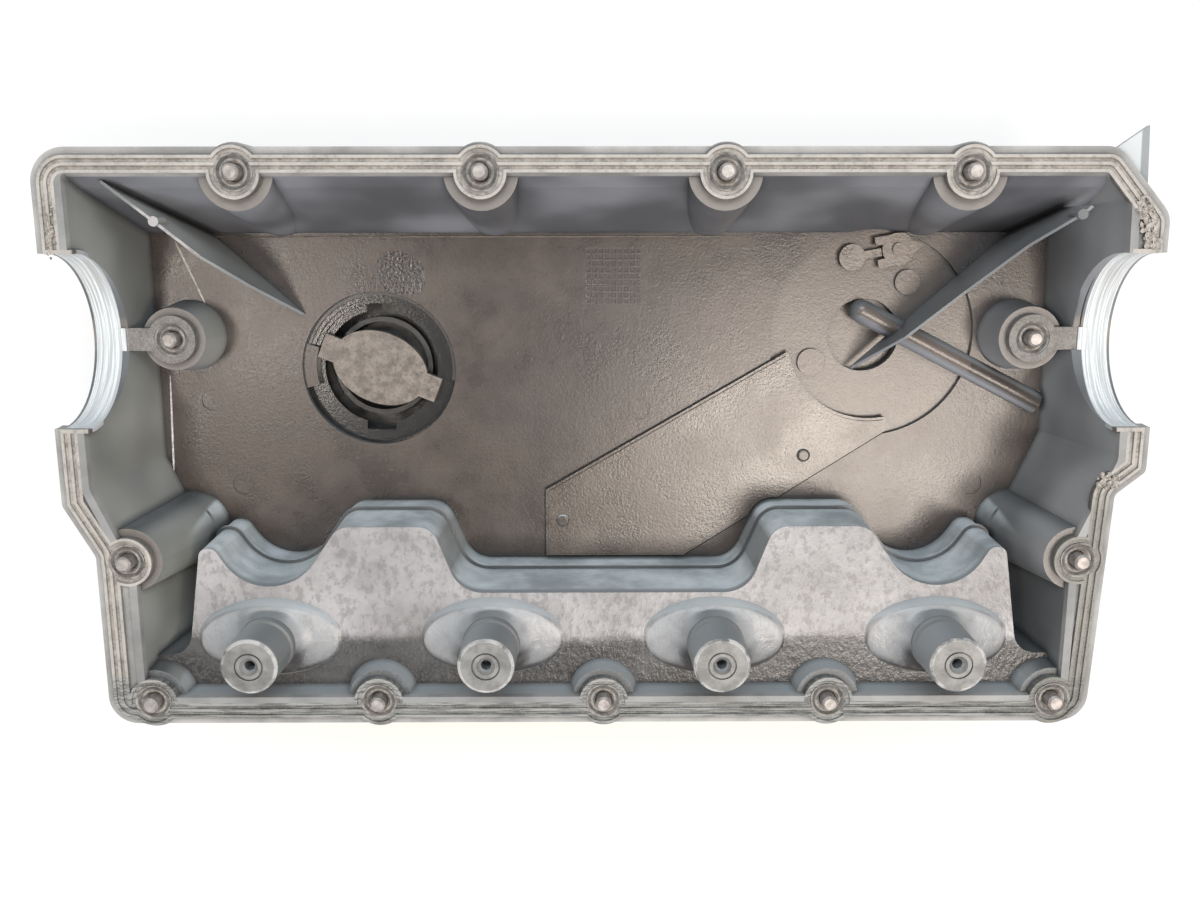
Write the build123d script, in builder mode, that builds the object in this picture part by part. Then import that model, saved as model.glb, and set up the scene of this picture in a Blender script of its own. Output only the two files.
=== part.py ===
"""Valve cover of a four-cylinder engine, lying on its back with the open side up.

X runs along the engine, Y across it and Z up out of the open side. The origin is in the
sealing plane, midway between the upper and the lower row of rim screws.
"""
from build123d import *
from math import radians, tan
import os

os.makedirs("parts", exist_ok=True)

# ---- screw rows ----
screw_pitch = 88.0
row_span = 201.0
mid_screw_half_span = 171.6
mid_screw_y = 38.0
side_screw_half_span = 181.7
side_screw_y = -43.7
mid_seat_z = -34.5

# ---- rim, seen from the open side ----
rim_end_margin = 29.0
rim_back_margin = 9.0
rim_front_margin = 9.5
rim_corner_radius = 11.0
waist_margin = 18.0
left_shoulder_y = -22.0
left_shoulder_drop = 20.0
right_shoulder_y = -9.5
right_shoulder_drop = 9.0
back_chamfer_x = 20.5
back_chamfer_y = 24.0
back_rim_width = 9.2
end_rim_width = 11.8
side_rim_width = 15.5
front_rim_width = 11.5
waist_taper = 4.0
mouth_chamfer_x = 12.5
mouth_chamfer_y = 9.5
mouth_lean = 3.5
mouth_shoulder_drop = 34.0
left_mouth_lag = 7.0
right_mouth_lag = 5.0
rim_step_width = 2.6
rim_step_height = 0.8
rim_thickness = 7.0
rim_top_drop = 1.2
screw_bump_radius = 10.6
tab_reach = 7.6
tab_thickness = 2.5
tab_drop = 9.0
tab_tip_inset = 8.2
tab_foot_inset = 7.1
tab_foot_drop = 13.0

# ---- body ----
wall = 3.0
depth = 57.0
foot_drop = 20.5
end_draft = 7.0
mouth_corner_radius = 2.0
back_kink_drop = 10.0
back_kink_inset = 4.6
back_slope_inset = 20.5

# ---- camshaft arches in both end walls ----
arch_y = 39.8
arch_radius = 32.2
arch_centre_drop = 3.3
arch_collar = 2.0
arch_collar_margin = 2.4
arch_collar_length = 12.0

# ---- ledge along the front ----
ledge_drop = 10.5
ledge_slope_drop = 6.5
ledge_fold_y = -77.5
ledge_draft = 2.2
lobe_tip_y = -34.8
lobe_tip_half = 18.5
lobe_foot_half = 29.5
lobe_offset = 1.5
bay_y = -60.5
bay_corner_radius = 14.0
lobe_corner_radius = 8.0
scallop_depth_y = -75.0
scallop_radius = 22.0
ear_tip_y = -43.0
ear_half_span = 159.5
ear_inner_half_span = 154.0
ledge_side_half_span = 164.0
ledge_heel_y = -85.0
ledge_heel_radius = 9.0
ledge_rib_z = -43.0
ledge_rib_height = 1.4
ledge_rib_reach = 1.3

# ---- hollow posts on the ledge ----
post_y = -78.9
post_height = 17.5
post_radius = 10.6
post_base_radius = 11.3
post_hole_radius = 1.9
post_hole_depth = 8.0
post_sink_radius = 3.5
post_groove_radius = 5.4
post_core_radius = 7.0
post_core_top = 5.0
flare_half_length = 28.0
flare_half_width = 14.5
flare_root_spread = 3.0
flare_waist_length = 19.0
flare_waist_width = 12.7
flare_waist_height = 1.3
flare_height = 5.0
post_chamfer = 0.8
post_groove_width = 0.6

# ---- screw bosses ----
boss_radius = 12.5
back_boss_radius = 13.5
front_boss_radius = 12.2
front_boss_foot_radius = 14.4
boss_shelf_drop = 3.0
boss_length = 19.5
back_column_lean = 9.0
side_column_lean = 6.2
column_foot_radius = 15.0
well_radius = 9.5

# ---- captive screw, its sleeve and its rubber bush ----
thread_radius = 3.0
thread_length = 14.0
thread_lead = 0.8
screw_tip_rise = 3.6
neck_radius = 2.3
head_flange_radius = 8.0
head_flange_thickness = 1.8
hex_across_flats = 10.0
hex_height = 6.5
screw_travel = 10.0
sleeve_drop = 3.2
sleeve_length = 19.8
sleeve_radius = 5.1
sleeve_bore = 4.3
sleeve_neck_length = 4.0
running_gap = 0.1
neck_gap = 0.2
bush_radius = 6.6
bush_drop = 0.9
seat_gap = 0.05

# ---- rim gasket ----
gasket_margin = 3.0
gasket_width = 6.2
gasket_base_drop = 3.0
gasket_web_drop = 0.9
ridge_width = 1.1
ring_radius = 9.5
ring_hole_radius = 6.8
arch_band_thickness = 1.5
arch_band_margin = 3.4
arch_band_width = 10.0
strap_width = 9.0
strap_thickness = 1.1
strap_lip_length = 4.0
strap_lip_height = 0.9
strap_top_drop = 1.15

# ---- oil filler ----
filler_x = -94.0
filler_y = 23.8
filler_recess_radius = 32.3
filler_neck_wall = 2.5
filler_opening_radius = 24.0
filler_shelf_drop = 5.5
filler_shelf_thickness = 3.5
filler_neck_end_drop = 17.0
ramp_step_width = 1.7
ramp_step_height = 1.0
stop_block_angle = 178.0
stop_block_span = 34.0
stop_block_width = 5.6
stop_block_height = 4.0
ramp_steps = 3
ramp_start_angle = -10.0
ramp_span = 180.0
cap_turn = 70.0
key_angle = -22.0
key_half_length = 20.5
key_half_width = 15.0
key_thickness = 3.4
lug_reach = 26.0
lug_width = 10.5
key_notch_clearance = 1.0
key_gap = 0.1
cap_stem_radius = 11.0
cap_skirt_radius = 21.0
cap_skirt_wall = 2.0
cap_skirt_height = 7.5
cap_radius = 34.0
cap_grips = 12
cap_grip_radius = 4.0
cap_seal_thickness = 1.2
cap_seal_width = 3.0
seal_margin = 0.2

# ---- crankcase breather ----
breather_x = 112.5
breather_y = 38.0
disc_radius = 43.0
disc_drop = 2.0
pocket_x = 109.5
pocket_y = 37.5
pocket_radius = 15.2
pocket_depth = 5.0
pocket_floor = 2.5
disc_recess_height = 11.0
shoulder_width = 2.5
shoulder_height = 1.4
lid_thickness = 3.2
lid_spigot_height = 2.0
diaphragm_thickness = 1.2
diaphragm_plate_radius = 20.0
diaphragm_plate_thickness = 1.5
diaphragm_overlap = 2.0
spring_radius = 9.0
spring_wire_radius = 0.6
spring_turns = 3
nozzle_radius = 8.0
nozzle_bore = 4.5
nozzle_length = 22.0
nozzle_stop_radius = 9.0
nozzle_stop_length = 2.0

# ---- what lies on the separator disc ----
stud_height = 1.6
drain_radius = 4.8
drain_start = (108.0, 47.6)
drain_end = (184.0, 8.5)
drain_axis_rise = 1.5
leaf_x = 103.2
leaf_y = 69.6
leaf_angle = 10.5
leaf_radius = 5.4
leaf_thickness = 0.5
leaf_neck_width = 3.2
valve_seat_radius = 4.9
valve_seat_height = 2.6
valve_hole_radius = 3.2
retainer_distance = 19.0
retainer_radius = 6.6
retainer_thickness = 1.2
retainer_pad_radius = 4.0
retainer_arm_length = 9.0
retainer_arm_width = 3.4
retainer_arm_offset = 4.6
rivet_head_height = 1.2
rivet_depth = 4.1
leaf_root_gap = 0.3
retainer_tip_reach = 10.5
rivet_radius = 1.6
rivet_head_radius = 2.6

# ---- channel cover ----
channel_cover_thickness = 2.4
channel_edge_width = 1.2
channel_edge_height = 0.8
channel_depth = 4.0
channel_inset = 3.5
channel_groove_width = 0.8
channel_groove_depth = 0.8
stake_radius = 2.0
stake_gap = 0.3
stake_head_radius = 2.8
stake_head_height = 1.2
stake_head_round = 1.0
stake_places = [(-17.1, -41.7), (85.5, -13.3)]
cover_left_x = -24.4
cover_left_y = -28.4
cover_front_gap = 1.2
cover_front_x = 34.9
cover_nose = (122.0, -1.7)
cover_arc_radius = 35.5
cover_arc_from = 191.6
cover_arc_to = 281.4

# ---- thin ribs that ran to the moulding gates ----
gate_rib_thickness = 1.1
gate_dot_radius = 1.9
gate_dot_rise = 0.4
gate_dot_length = 8.0
left_rib_start = (-181.0, 97.7)
left_rib_end = (-124.0, 46.2)
left_rib_profile = [(0.0, -4.0), (21.0, -10.3), (40.5, -15.4), (57.5, -32.0), (76.8, -57.0)]
left_rib_dot = (21.0, -10.3)
right_rib_start = (178.0, 88.6)
right_rib_end = (105.1, 23.6)
right_rib_profile = [(0.0, -5.2), (4.3, -5.7), (21.0, -21.0), (47.8, -30.0), (76.0, -37.0), (97.7, -58.0)]
right_rib_dot = (4.3, -5.7)
stud_places = [(127.0, 59.5, 5.2), (87.8, 26.2, 5.6)]
ejector_mark_depth = 0.4
ejector_mark_radius = 4.6
ejector_marks = [(-165.0, 10.5), (-154.0, -26.0), (158.5, -26.5), (15.5, 6.5)]

# ---- worked out from the above ----
back_row_y = row_span / 2
front_row_y = -row_span / 2
end_x = 2 * screw_pitch + rim_end_margin
back_y = back_row_y + rim_back_margin
front_y = front_row_y - rim_front_margin
waist_x = 2 * screw_pitch + waist_margin
back_screws = [((i - 1.5) * screw_pitch, back_row_y) for i in range(4)]
front_screws = [((i - 2) * screw_pitch, front_row_y) for i in range(5)]
side_screws = [(side * side_screw_half_span, side_screw_y) for side in (-1, 1)]
mid_screws = [(side * mid_screw_half_span, mid_screw_y) for side in (-1, 1)]
rim_screws = back_screws + front_screws + side_screws
post_places = [((i - 1.5) * screw_pitch, post_y) for i in range(4)]
lobe_x = screw_pitch - lobe_offset
well_top_drop = boss_shelf_drop + boss_length
mouth_end_x = end_x - end_rim_width
mouth_waist_x = waist_x - side_rim_width
mouth_back_y = back_y - back_rim_width
left_mouth_y = left_shoulder_y + left_mouth_lag
right_mouth_y = right_shoulder_y + right_mouth_lag
mouth_front_y = front_y + front_rim_width
rest_z = -depth - wall - foot_drop
filler_shelf_z = -depth - filler_shelf_drop
filler_neck_end = -depth - filler_neck_end_drop
disc_floor_z = -depth - disc_drop
breather_chamber_top = disc_floor_z - wall
lid_top = rest_z + lid_thickness
channel_top = -depth + channel_cover_thickness
disc_recess_top = disc_floor_z + disc_recess_height + wall
nozzle_z = -depth - wall - nozzle_radius
diaphragm_top = lid_top + lid_spigot_height + diaphragm_thickness
plate_top = diaphragm_top + diaphragm_plate_thickness
strap_top_z = mid_seat_z - strap_top_drop
strap_end_x = end_x - arch_band_margin - arch_band_width / 2
strap_lips = (
    mid_screw_half_span + ring_radius + strap_lip_length / 2 - strap_thickness,
    end_x - arch_band_margin - arch_band_width,
)
leaf_plane = Plane(origin=(leaf_x, leaf_y, 0)).rotated((0, 0, leaf_angle))
leaf_z = disc_floor_z + valve_seat_height
ledge_foot_reach = (depth - ledge_drop) * tan(radians(ledge_draft))


def rim_outline(inset=0):
    """The rim's outer line, moved inwards by the inset."""
    with BuildSketch() as outline:
        with BuildLine():
            FilletPolyline(
                (-end_x, back_y),
                (end_x - back_chamfer_x, back_y),
                (end_x, back_y - back_chamfer_y),
                (end_x, right_shoulder_y),
                (waist_x, right_shoulder_y - right_shoulder_drop),
                (waist_x - waist_taper, front_y),
                (-waist_x, front_y),
                (-waist_x, left_shoulder_y - left_shoulder_drop),
                (-end_x, left_shoulder_y),
                radius=[13, 10, 10, 3, 3, rim_corner_radius, rim_corner_radius, 4, 4],
                close=True,
            )
        make_face()
        if inset:
            offset(amount=-inset, kind=Kind.INTERSECTION)
    return outline.sketch


def rim_silhouette():
    """The rim's outer line with the small bulge behind each screw."""
    with BuildSketch() as outline:
        add(rim_outline())
        with Locations(*rim_screws):
            Circle(screw_bump_radius)
    return outline.sketch


def ledge_outline(grow):
    """The ledge's plan, with a lobe behind each pair of posts; it runs on past the walls."""
    half = [
        (lobe_x - lobe_foot_half, bay_y, bay_corner_radius),
        (lobe_x - lobe_tip_half, lobe_tip_y, lobe_corner_radius),
        (lobe_x + lobe_tip_half, lobe_tip_y, lobe_corner_radius),
        (1.5 * screw_pitch, scallop_depth_y, scallop_radius),
        (ear_inner_half_span, ear_tip_y, 4),
        (ear_half_span, ear_tip_y, 3),
        (ledge_side_half_span, ledge_heel_y, ledge_heel_radius),
        (end_x + 2 * wall, ledge_heel_y, 0),
        (end_x + 2 * wall, front_y - 2 * wall, 0),
    ]
    points = [(x, y) for x, y, _ in half] + [(-x, y) for x, y, _ in reversed(half)]
    radii = [r for _, _, r in half] + [r for _, _, r in reversed(half)]
    with BuildSketch() as outline:
        with BuildLine():
            FilletPolyline(*points, radius=radii, close=True)
        make_face()
        if grow:
            offset(amount=grow)
    return outline.sketch


def ledge_block(sink):
    """The ledge as a block standing on the floor, every face moved inwards by the sink."""
    top_z = -ledge_drop - sink
    base_z = -depth - wall
    lobe_z = top_z - ledge_slope_drop
    with BuildPart() as block:
        with BuildSketch(Plane.XY.offset(top_z)):
            add(ledge_outline(-sink))
        extrude(amount=base_z - top_z, taper=-ledge_draft)
        with BuildSketch(Plane.YZ):
            with BuildLine():
                Polyline(
                    (ledge_fold_y, top_z),
                    (lobe_tip_y + 10, lobe_z - (lobe_z - top_z) * 10 / (ledge_fold_y - lobe_tip_y)),
                    (lobe_tip_y + 10, top_z + 10),
                    (ledge_fold_y, top_z + 10),
                    close=True,
                )
            make_face()
        extrude(amount=2 * end_x, both=True, mode=Mode.SUBTRACT)
    return block.part


def inner_form(grow):
    """The space inside the cover, with every wall moved outwards by the given thickness."""
    floor_z = -depth - grow
    with BuildPart() as form:
        with BuildSketch():
            with BuildLine():
                FilletPolyline(
                    (-mouth_end_x, mouth_back_y),
                    (mouth_end_x - mouth_chamfer_x, mouth_back_y),
                    (mouth_end_x - mouth_lean, mouth_back_y - mouth_chamfer_y),
                    (mouth_end_x, right_mouth_y),
                    (mouth_waist_x, right_mouth_y - mouth_shoulder_drop),
                    (mouth_waist_x, mouth_front_y),
                    (-mouth_waist_x, mouth_front_y),
                    (-mouth_waist_x, left_mouth_y - mouth_shoulder_drop),
                    (-mouth_end_x, left_mouth_y),
                    radius=[mouth_corner_radius, 6, 6, 8, 12, 8, 8, 12, 8],
                    close=True,
                )
            make_face()
            if grow:
                offset(amount=grow)
        extrude(amount=floor_z, taper=end_draft)
        with BuildSketch(Plane.YZ):
            with BuildLine():
                Polyline(
                    (mouth_back_y + grow, 0),
                    (mouth_back_y - back_kink_inset + grow, -back_kink_drop),
                    (mouth_back_y - back_slope_inset + grow, -depth),
                    (mouth_back_y - back_slope_inset + grow, floor_z - 1),
                    (back_y + 10, floor_z - 1),
                    (back_y + 10, 0),
                    close=True,
                )
            make_face()
        extrude(amount=2 * end_x, both=True, mode=Mode.SUBTRACT)
        add(ledge_block(grow), mode=Mode.SUBTRACT)
    return form.part


def column(top_place, foot_place, top_radius, foot_radius, top_z):
    """A screw column that leans inwards from its shelf to its foot on the floor."""
    with BuildPart() as shape:
        with BuildSketch(Plane.XY.offset(top_z)):
            with Locations(top_place):
                Circle(top_radius)
        with BuildSketch(Plane.XY.offset(-depth - wall)):
            with Locations(foot_place):
                Circle(foot_radius)
        loft()
    return shape.part


def gate_rib(start, end, profile, dot):
    """A thin upright rib; its profile lists how far along the rib and how high its edge is.

    The dot is the round pad that stands in the rib, placed by the same two values.
    """
    along = Vector(end[0] - start[0], end[1] - start[1])
    upright = Plane(origin=(start[0], start[1], 0), x_dir=along, z_dir=along.cross(Vector(0, 0, 1)))
    with BuildPart() as rib:
        with BuildSketch(upright):
            with BuildLine():
                Polyline(*profile, (profile[-1][0], -depth - wall), (0, -depth - wall), close=True)
            make_face()
        extrude(amount=gate_rib_thickness / 2, both=True)
        with Locations(upright.from_local_coords((dot[0], dot[1] + gate_dot_rise, 0))):
            Cylinder(gate_dot_radius, gate_dot_length, align=(Align.CENTER, Align.CENTER, Align.MAX))
    return rib.part


def channel_outline(inset):
    """The channel cover's plan: a slanting plate with a round bite beside the separator disc."""
    front_edge_y = bay_y + ledge_foot_reach + cover_front_gap
    centre = Vector(breather_x, breather_y)
    arc_from = centre + Vector(cover_arc_radius, 0).rotate(Axis.Z, cover_arc_from)
    arc_middle = centre + Vector(cover_arc_radius, 0).rotate(Axis.Z, (cover_arc_from + cover_arc_to) / 2)
    arc_to = centre + Vector(cover_arc_radius, 0).rotate(Axis.Z, cover_arc_to)
    with BuildSketch() as outline:
        with BuildLine():
            Polyline(
                arc_from,
                (cover_left_x, cover_left_y),
                (cover_left_x, front_edge_y),
                (cover_front_x, front_edge_y),
                cover_nose,
                arc_to,
            )
            ThreePointArc(arc_to, arc_middle, arc_from)
        make_face()
        add(ledge_outline(ledge_foot_reach + cover_front_gap), mode=Mode.SUBTRACT)
        if inset:
            offset(amount=-inset, kind=Kind.INTERSECTION)
    return outline.sketch


def key_outline(grow, angle):
    """The filler cap's oval key with its two lugs, turned to the angle."""
    with BuildSketch() as outline:
        with Locations(Location((filler_x, filler_y), angle)):
            Ellipse(key_half_length + grow, key_half_width + grow)
            Rectangle(2 * (lug_reach + grow), lug_width + 2 * grow)
    return outline.sketch


def ring(place, outer, inner, top_z, height):
    """A flat ring whose upper face lies at the given height."""
    with BuildPart() as shape:
        with BuildSketch(Plane.XY.offset(top_z)):
            with Locations(place):
                Circle(outer)
                if inner:
                    Circle(inner, mode=Mode.SUBTRACT)
        extrude(amount=-height)
    return shape.part


def gasket_plan(inset):
    """The gasket strip with its screw rings, its outer edges moved inwards by the inset."""
    with BuildSketch() as plan:
        add(rim_outline(gasket_margin + inset))
        add(rim_outline(gasket_margin + gasket_width - inset), mode=Mode.SUBTRACT)
        with Locations(*rim_screws):
            Circle(ring_radius - inset)
            Circle(ring_hole_radius, mode=Mode.SUBTRACT)
    return plan.sketch


def arch_cylinder(radius, inner_margin, outer_margin):
    """Round bars along X in both arches, between two margins from the ends of the rim."""
    with BuildPart() as bars:
        for side in (-1, 1):
            with BuildSketch(Plane.YZ.offset(side * (end_x - outer_margin))):
                with Locations((arch_y, -arch_centre_drop)):
                    Circle(radius)
            extrude(amount=-side * (inner_margin - outer_margin))
    return bars.part


def arch_band_bars():
    """The bars that the gasket's arch bands are cut from, which also cut their seats."""
    inner_margin = arch_band_margin + arch_band_width
    return arch_cylinder(arch_radius + arch_band_thickness, inner_margin, arch_band_margin)


def straps(height):
    """Bars from the inner screws out to the arch bands, standing on the straps' underside."""
    with BuildPart() as bars:
        with BuildSketch(Plane.XY.offset(strap_top_z - strap_thickness)):
            for side in (-1, 1):
                with Locations((side * (mid_screw_half_span + strap_end_x) / 2, mid_screw_y)):
                    Rectangle(strap_end_x - mid_screw_half_span, strap_width)
        extrude(amount=height)
    return bars.part


# ---- the shell: one moulding ----
inside = inner_form(0)
outside = inner_form(wall)

with BuildPart() as columns:
    for x, y in back_screws:
        foot = (x, y - back_column_lean)
        add(column((x, y), foot, back_boss_radius, back_boss_radius, -boss_shelf_drop))
    for x, y in side_screws:
        lean = side_column_lean if x < 0 else -side_column_lean
        add(column((x, y), (x + lean, y), boss_radius, column_foot_radius, -boss_shelf_drop))
    for place in mid_screws:
        add(column(place, place, boss_radius, column_foot_radius, mid_seat_z - boss_shelf_drop))
    with Locations(*[(x, y, -boss_shelf_drop) for x, y in front_screws]):
        Cone(
            front_boss_foot_radius,
            front_boss_radius,
            ledge_drop + wall - boss_shelf_drop,
            align=(Align.CENTER, Align.CENTER, Align.MAX),
        )
    add(gate_rib(left_rib_start, left_rib_end, left_rib_profile, left_rib_dot))
    add(gate_rib(right_rib_start, right_rib_end, right_rib_profile, right_rib_dot))
    add(outside, mode=Mode.INTERSECT)

with BuildPart() as bosses:
    with BuildSketch(Plane.XY.offset(-boss_shelf_drop)):
        with Locations(*rim_screws):
            Circle(boss_radius)
        add(rim_silhouette(), mode=Mode.INTERSECT)
    extrude(amount=-boss_length)

with BuildPart() as drain_tube:
    drain_run = Vector(*drain_end) - Vector(*drain_start)
    drain_z = disc_floor_z + drain_axis_rise
    with BuildSketch(Plane(origin=(*drain_start, drain_z), z_dir=drain_run)):
        Circle(drain_radius)
    extrude(amount=drain_run.length)
    with Locations((*drain_start, drain_z)):
        Sphere(drain_radius)
    add(outside, mode=Mode.INTERSECT)

with BuildPart() as ledge_trim:
    rib_draft = (-ledge_drop - ledge_rib_z) * tan(radians(ledge_draft))
    with BuildSketch(Plane.XY.offset(ledge_rib_z)):
        add(ledge_outline(ledge_rib_reach + rib_draft))
    extrude(amount=ledge_rib_height)
    add(inside, mode=Mode.INTERSECT)

with BuildPart() as posts:
    for place in post_places:
        with BuildSketch(Plane.XY.offset(-ledge_drop - wall)):
            with Locations(place):
                Ellipse(flare_half_length + flare_root_spread, flare_half_width + flare_root_spread)
        with BuildSketch(Plane.XY.offset(-ledge_drop)):
            with Locations(place):
                Ellipse(flare_half_length, flare_half_width)
        with BuildSketch(Plane.XY.offset(flare_waist_height - ledge_drop)):
            with Locations(place):
                Ellipse(flare_waist_length, flare_waist_width)
        with BuildSketch(Plane.XY.offset(flare_height - ledge_drop)):
            with Locations(place):
                Circle(post_base_radius)
        loft()
    for place in post_places:
        with Locations((*place, -ledge_drop - wall)):
            Cone(
                post_base_radius,
                post_radius,
                post_height + ledge_drop + wall,
                align=(Align.CENTER, Align.CENTER, Align.MIN),
            )
    chamfer(posts.faces().filter_by(Axis.Z).group_by(Axis.Z)[-1].edges(), post_chamfer)

with BuildPart() as stake_heads:
    with BuildSketch(Plane.XY.offset(channel_top)):
        with Locations(*stake_places):
            Circle(stake_head_radius)
    extrude(amount=stake_head_height)
    fillet(stake_heads.faces().filter_by(Axis.Z).group_by(Axis.Z)[-1].edges(), stake_head_round)

with BuildPart() as arch_collars:
    for side in (-1, 1):
        with BuildSketch(Plane.YZ.offset(side * (end_x - arch_collar_margin))):
            with Locations((arch_y, -arch_centre_drop)):
                Circle(arch_radius + arch_band_thickness + arch_collar)
        extrude(amount=-side * arch_collar_length)
    with BuildSketch(Plane.XY.offset(-rim_top_drop)):
        add(rim_outline())
    extrude(amount=-depth, mode=Mode.INTERSECT)

with BuildPart() as cover_shell:
    add(outside)
    # flange, screw bosses and arch collars
    with BuildSketch(Plane.XY.offset(-rim_top_drop)):
        add(rim_silhouette())
    extrude(amount=-rim_thickness)
    add(bosses.part)
    add(arch_collars.part)
    # filler neck, breather housing, channel floor and hose nozzle on the outside
    with BuildSketch(Plane.XY.offset(-depth)):
        with Locations((filler_x, filler_y)):
            Circle(filler_recess_radius + filler_neck_wall)
    extrude(amount=-filler_neck_end_drop)
    with BuildSketch(Plane.XY.offset(disc_recess_top)):
        with Locations((breather_x, breather_y)):
            Circle(disc_radius + wall)
    extrude(amount=lid_top - disc_recess_top)
    with BuildSketch(Plane.XY.offset(-depth)):
        add(channel_outline(0))
    extrude(amount=-channel_depth - wall)
    with BuildSketch(Plane.XZ.offset(-breather_y)):
        with Locations((breather_x, nozzle_z)):
            Circle(nozzle_radius)
    extrude(amount=-disc_radius - wall - nozzle_length)
    with BuildSketch(Plane.XZ.offset(-breather_y)):
        with Locations((breather_x, nozzle_z)):
            Circle(nozzle_stop_radius)
    extrude(amount=-disc_radius - wall - nozzle_stop_length)
    # the inside, with what stands in it
    add(inside, mode=Mode.SUBTRACT)
    with Locations((breather_x, breather_y, disc_floor_z)):
        Cylinder(
            disc_radius,
            disc_recess_top - disc_floor_z - wall,
            align=(Align.CENTER, Align.CENTER, Align.MIN),
            mode=Mode.SUBTRACT,
        )
    add(columns.part)
    add(ledge_trim.part)
    add(posts.part)
    # studs, valve seat and retainer pad on the separator disc
    with BuildSketch(Plane.XY.offset(disc_floor_z + stud_height)):
        for x, y, radius in stud_places:
            with Locations((x, y)):
                Circle(radius)
    extrude(amount=-stud_height)
    with BuildSketch(leaf_plane.offset(leaf_z)):
        Circle(valve_seat_radius)
        with Locations((retainer_distance, 0)):
            Circle(retainer_pad_radius)
    extrude(amount=-valve_seat_height)
    # outer step of the rim, and the seats of the gasket
    with BuildSketch(Plane.XY.offset(-rim_top_drop)):
        add(rim_silhouette())
        add(rim_outline(rim_step_width), mode=Mode.SUBTRACT)
    extrude(amount=-rim_step_height, mode=Mode.SUBTRACT)
    with BuildSketch(Plane.XY.offset(-gasket_base_drop)):
        add(gasket_plan(0))
        with Locations(*rim_screws):
            Circle(ring_radius)
    extrude(amount=gasket_base_drop, mode=Mode.SUBTRACT)
    add(arch_cylinder(arch_radius, end_rim_width + 2 * wall, -wall), mode=Mode.SUBTRACT)
    add(arch_band_bars(), mode=Mode.SUBTRACT)
    add(straps(3 * strap_thickness), mode=Mode.SUBTRACT)
    # screw bores and wells
    with BuildSketch():
        with Locations(*rim_screws, *mid_screws):
            Circle(bush_radius)
    extrude(amount=-2 * depth, mode=Mode.SUBTRACT)
    with BuildSketch(Plane.XY.offset(-well_top_drop)):
        with Locations(*rim_screws):
            Circle(well_radius)
    extrude(amount=-depth, mode=Mode.SUBTRACT)
    with BuildSketch(Plane.XY.offset(mid_seat_z - well_top_drop)):
        with Locations(*mid_screws):
            Circle(well_radius)
    extrude(amount=-depth, mode=Mode.SUBTRACT)
    # cores and end holes of the posts
    for place in post_places:
        with Locations((*place, post_core_top)):
            Cylinder(
                post_core_radius,
                post_core_top + ledge_drop + 2 * wall,
                align=(Align.CENTER, Align.CENTER, Align.MAX),
                mode=Mode.SUBTRACT,
            )
        with Locations((*place, post_height)):
            CounterSinkHole(post_hole_radius, post_sink_radius, depth=post_hole_depth)
    with BuildSketch(Plane.XY.offset(post_height)):
        with Locations(*post_places):
            Circle(post_groove_radius)
            Circle(post_groove_radius - post_groove_width, mode=Mode.SUBTRACT)
    extrude(amount=-post_groove_width, mode=Mode.SUBTRACT)
    # oil filler: recess, keyed opening, chamber below, ramps and stop
    with BuildSketch(Plane.XY.offset(filler_shelf_z)):
        with Locations((filler_x, filler_y)):
            Circle(filler_recess_radius)
    extrude(amount=depth, mode=Mode.SUBTRACT)
    with BuildSketch(Plane.XY.offset(filler_shelf_z)):
        with Locations((filler_x, filler_y)):
            Circle(filler_opening_radius)
        add(key_outline(key_notch_clearance, key_angle - cap_turn))
    extrude(amount=-filler_shelf_thickness, mode=Mode.SUBTRACT)
    with BuildSketch(Plane.XY.offset(filler_shelf_z - filler_shelf_thickness)):
        with Locations((filler_x, filler_y)):
            Circle(filler_recess_radius)
    extrude(amount=-depth, mode=Mode.SUBTRACT)
    for step in range(ramp_steps):
        step_reach = (ramp_steps - step) * ramp_step_width
        with BuildSketch(Plane.XY.offset(filler_shelf_z)):
            with BuildLine():
                CenterArc(
                    (filler_x, filler_y),
                    filler_recess_radius - step_reach / 2,
                    ramp_start_angle,
                    ramp_span,
                )
            trace(line_width=step_reach)
        extrude(amount=(step + 1) * ramp_step_height)
    with BuildSketch(Plane.XY.offset(filler_shelf_z)):
        with BuildLine():
            CenterArc(
                (filler_x, filler_y),
                filler_recess_radius - stop_block_width / 2,
                stop_block_angle - stop_block_span / 2,
                stop_block_span,
            )
        trace(line_width=stop_block_width)
    extrude(amount=stop_block_height)
    # breather chamber with its diaphragm shoulder, the pocket over it, and the nozzle's bore
    with BuildSketch(Plane.XY.offset(breather_chamber_top)):
        with Locations((breather_x, breather_y)):
            Circle(disc_radius)
    extrude(amount=-depth, mode=Mode.SUBTRACT)
    add(
        ring(
            (breather_x, breather_y),
            disc_radius,
            disc_radius - shoulder_width,
            diaphragm_top + shoulder_height,
            shoulder_height,
        )
    )
    with BuildSketch(Plane.XY.offset(disc_floor_z)):
        with Locations((pocket_x, pocket_y)):
            Circle(pocket_radius + pocket_floor)
    extrude(amount=-pocket_depth - pocket_floor)
    with BuildSketch(Plane.XY.offset(disc_floor_z)):
        with Locations((pocket_x, pocket_y)):
            Circle(pocket_radius)
    extrude(amount=-pocket_depth, mode=Mode.SUBTRACT)
    add(drain_tube.part)
    with BuildSketch(Plane.XZ.offset(-breather_y - disc_radius + 2 * wall)):
        with Locations((breather_x, nozzle_z)):
            Circle(nozzle_bore)
    extrude(amount=-3 * wall - nozzle_length, mode=Mode.SUBTRACT)
    with BuildSketch(Plane.XY.offset(leaf_z)):
        with Locations((leaf_x, leaf_y)):
            Circle(valve_hole_radius)
    extrude(amount=-valve_seat_height - wall, mode=Mode.SUBTRACT)
    with BuildSketch(leaf_plane.offset(leaf_z)):
        with Locations((retainer_distance, 0)):
            Circle(rivet_radius)
    extrude(amount=-rivet_depth, mode=Mode.SUBTRACT)
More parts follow.
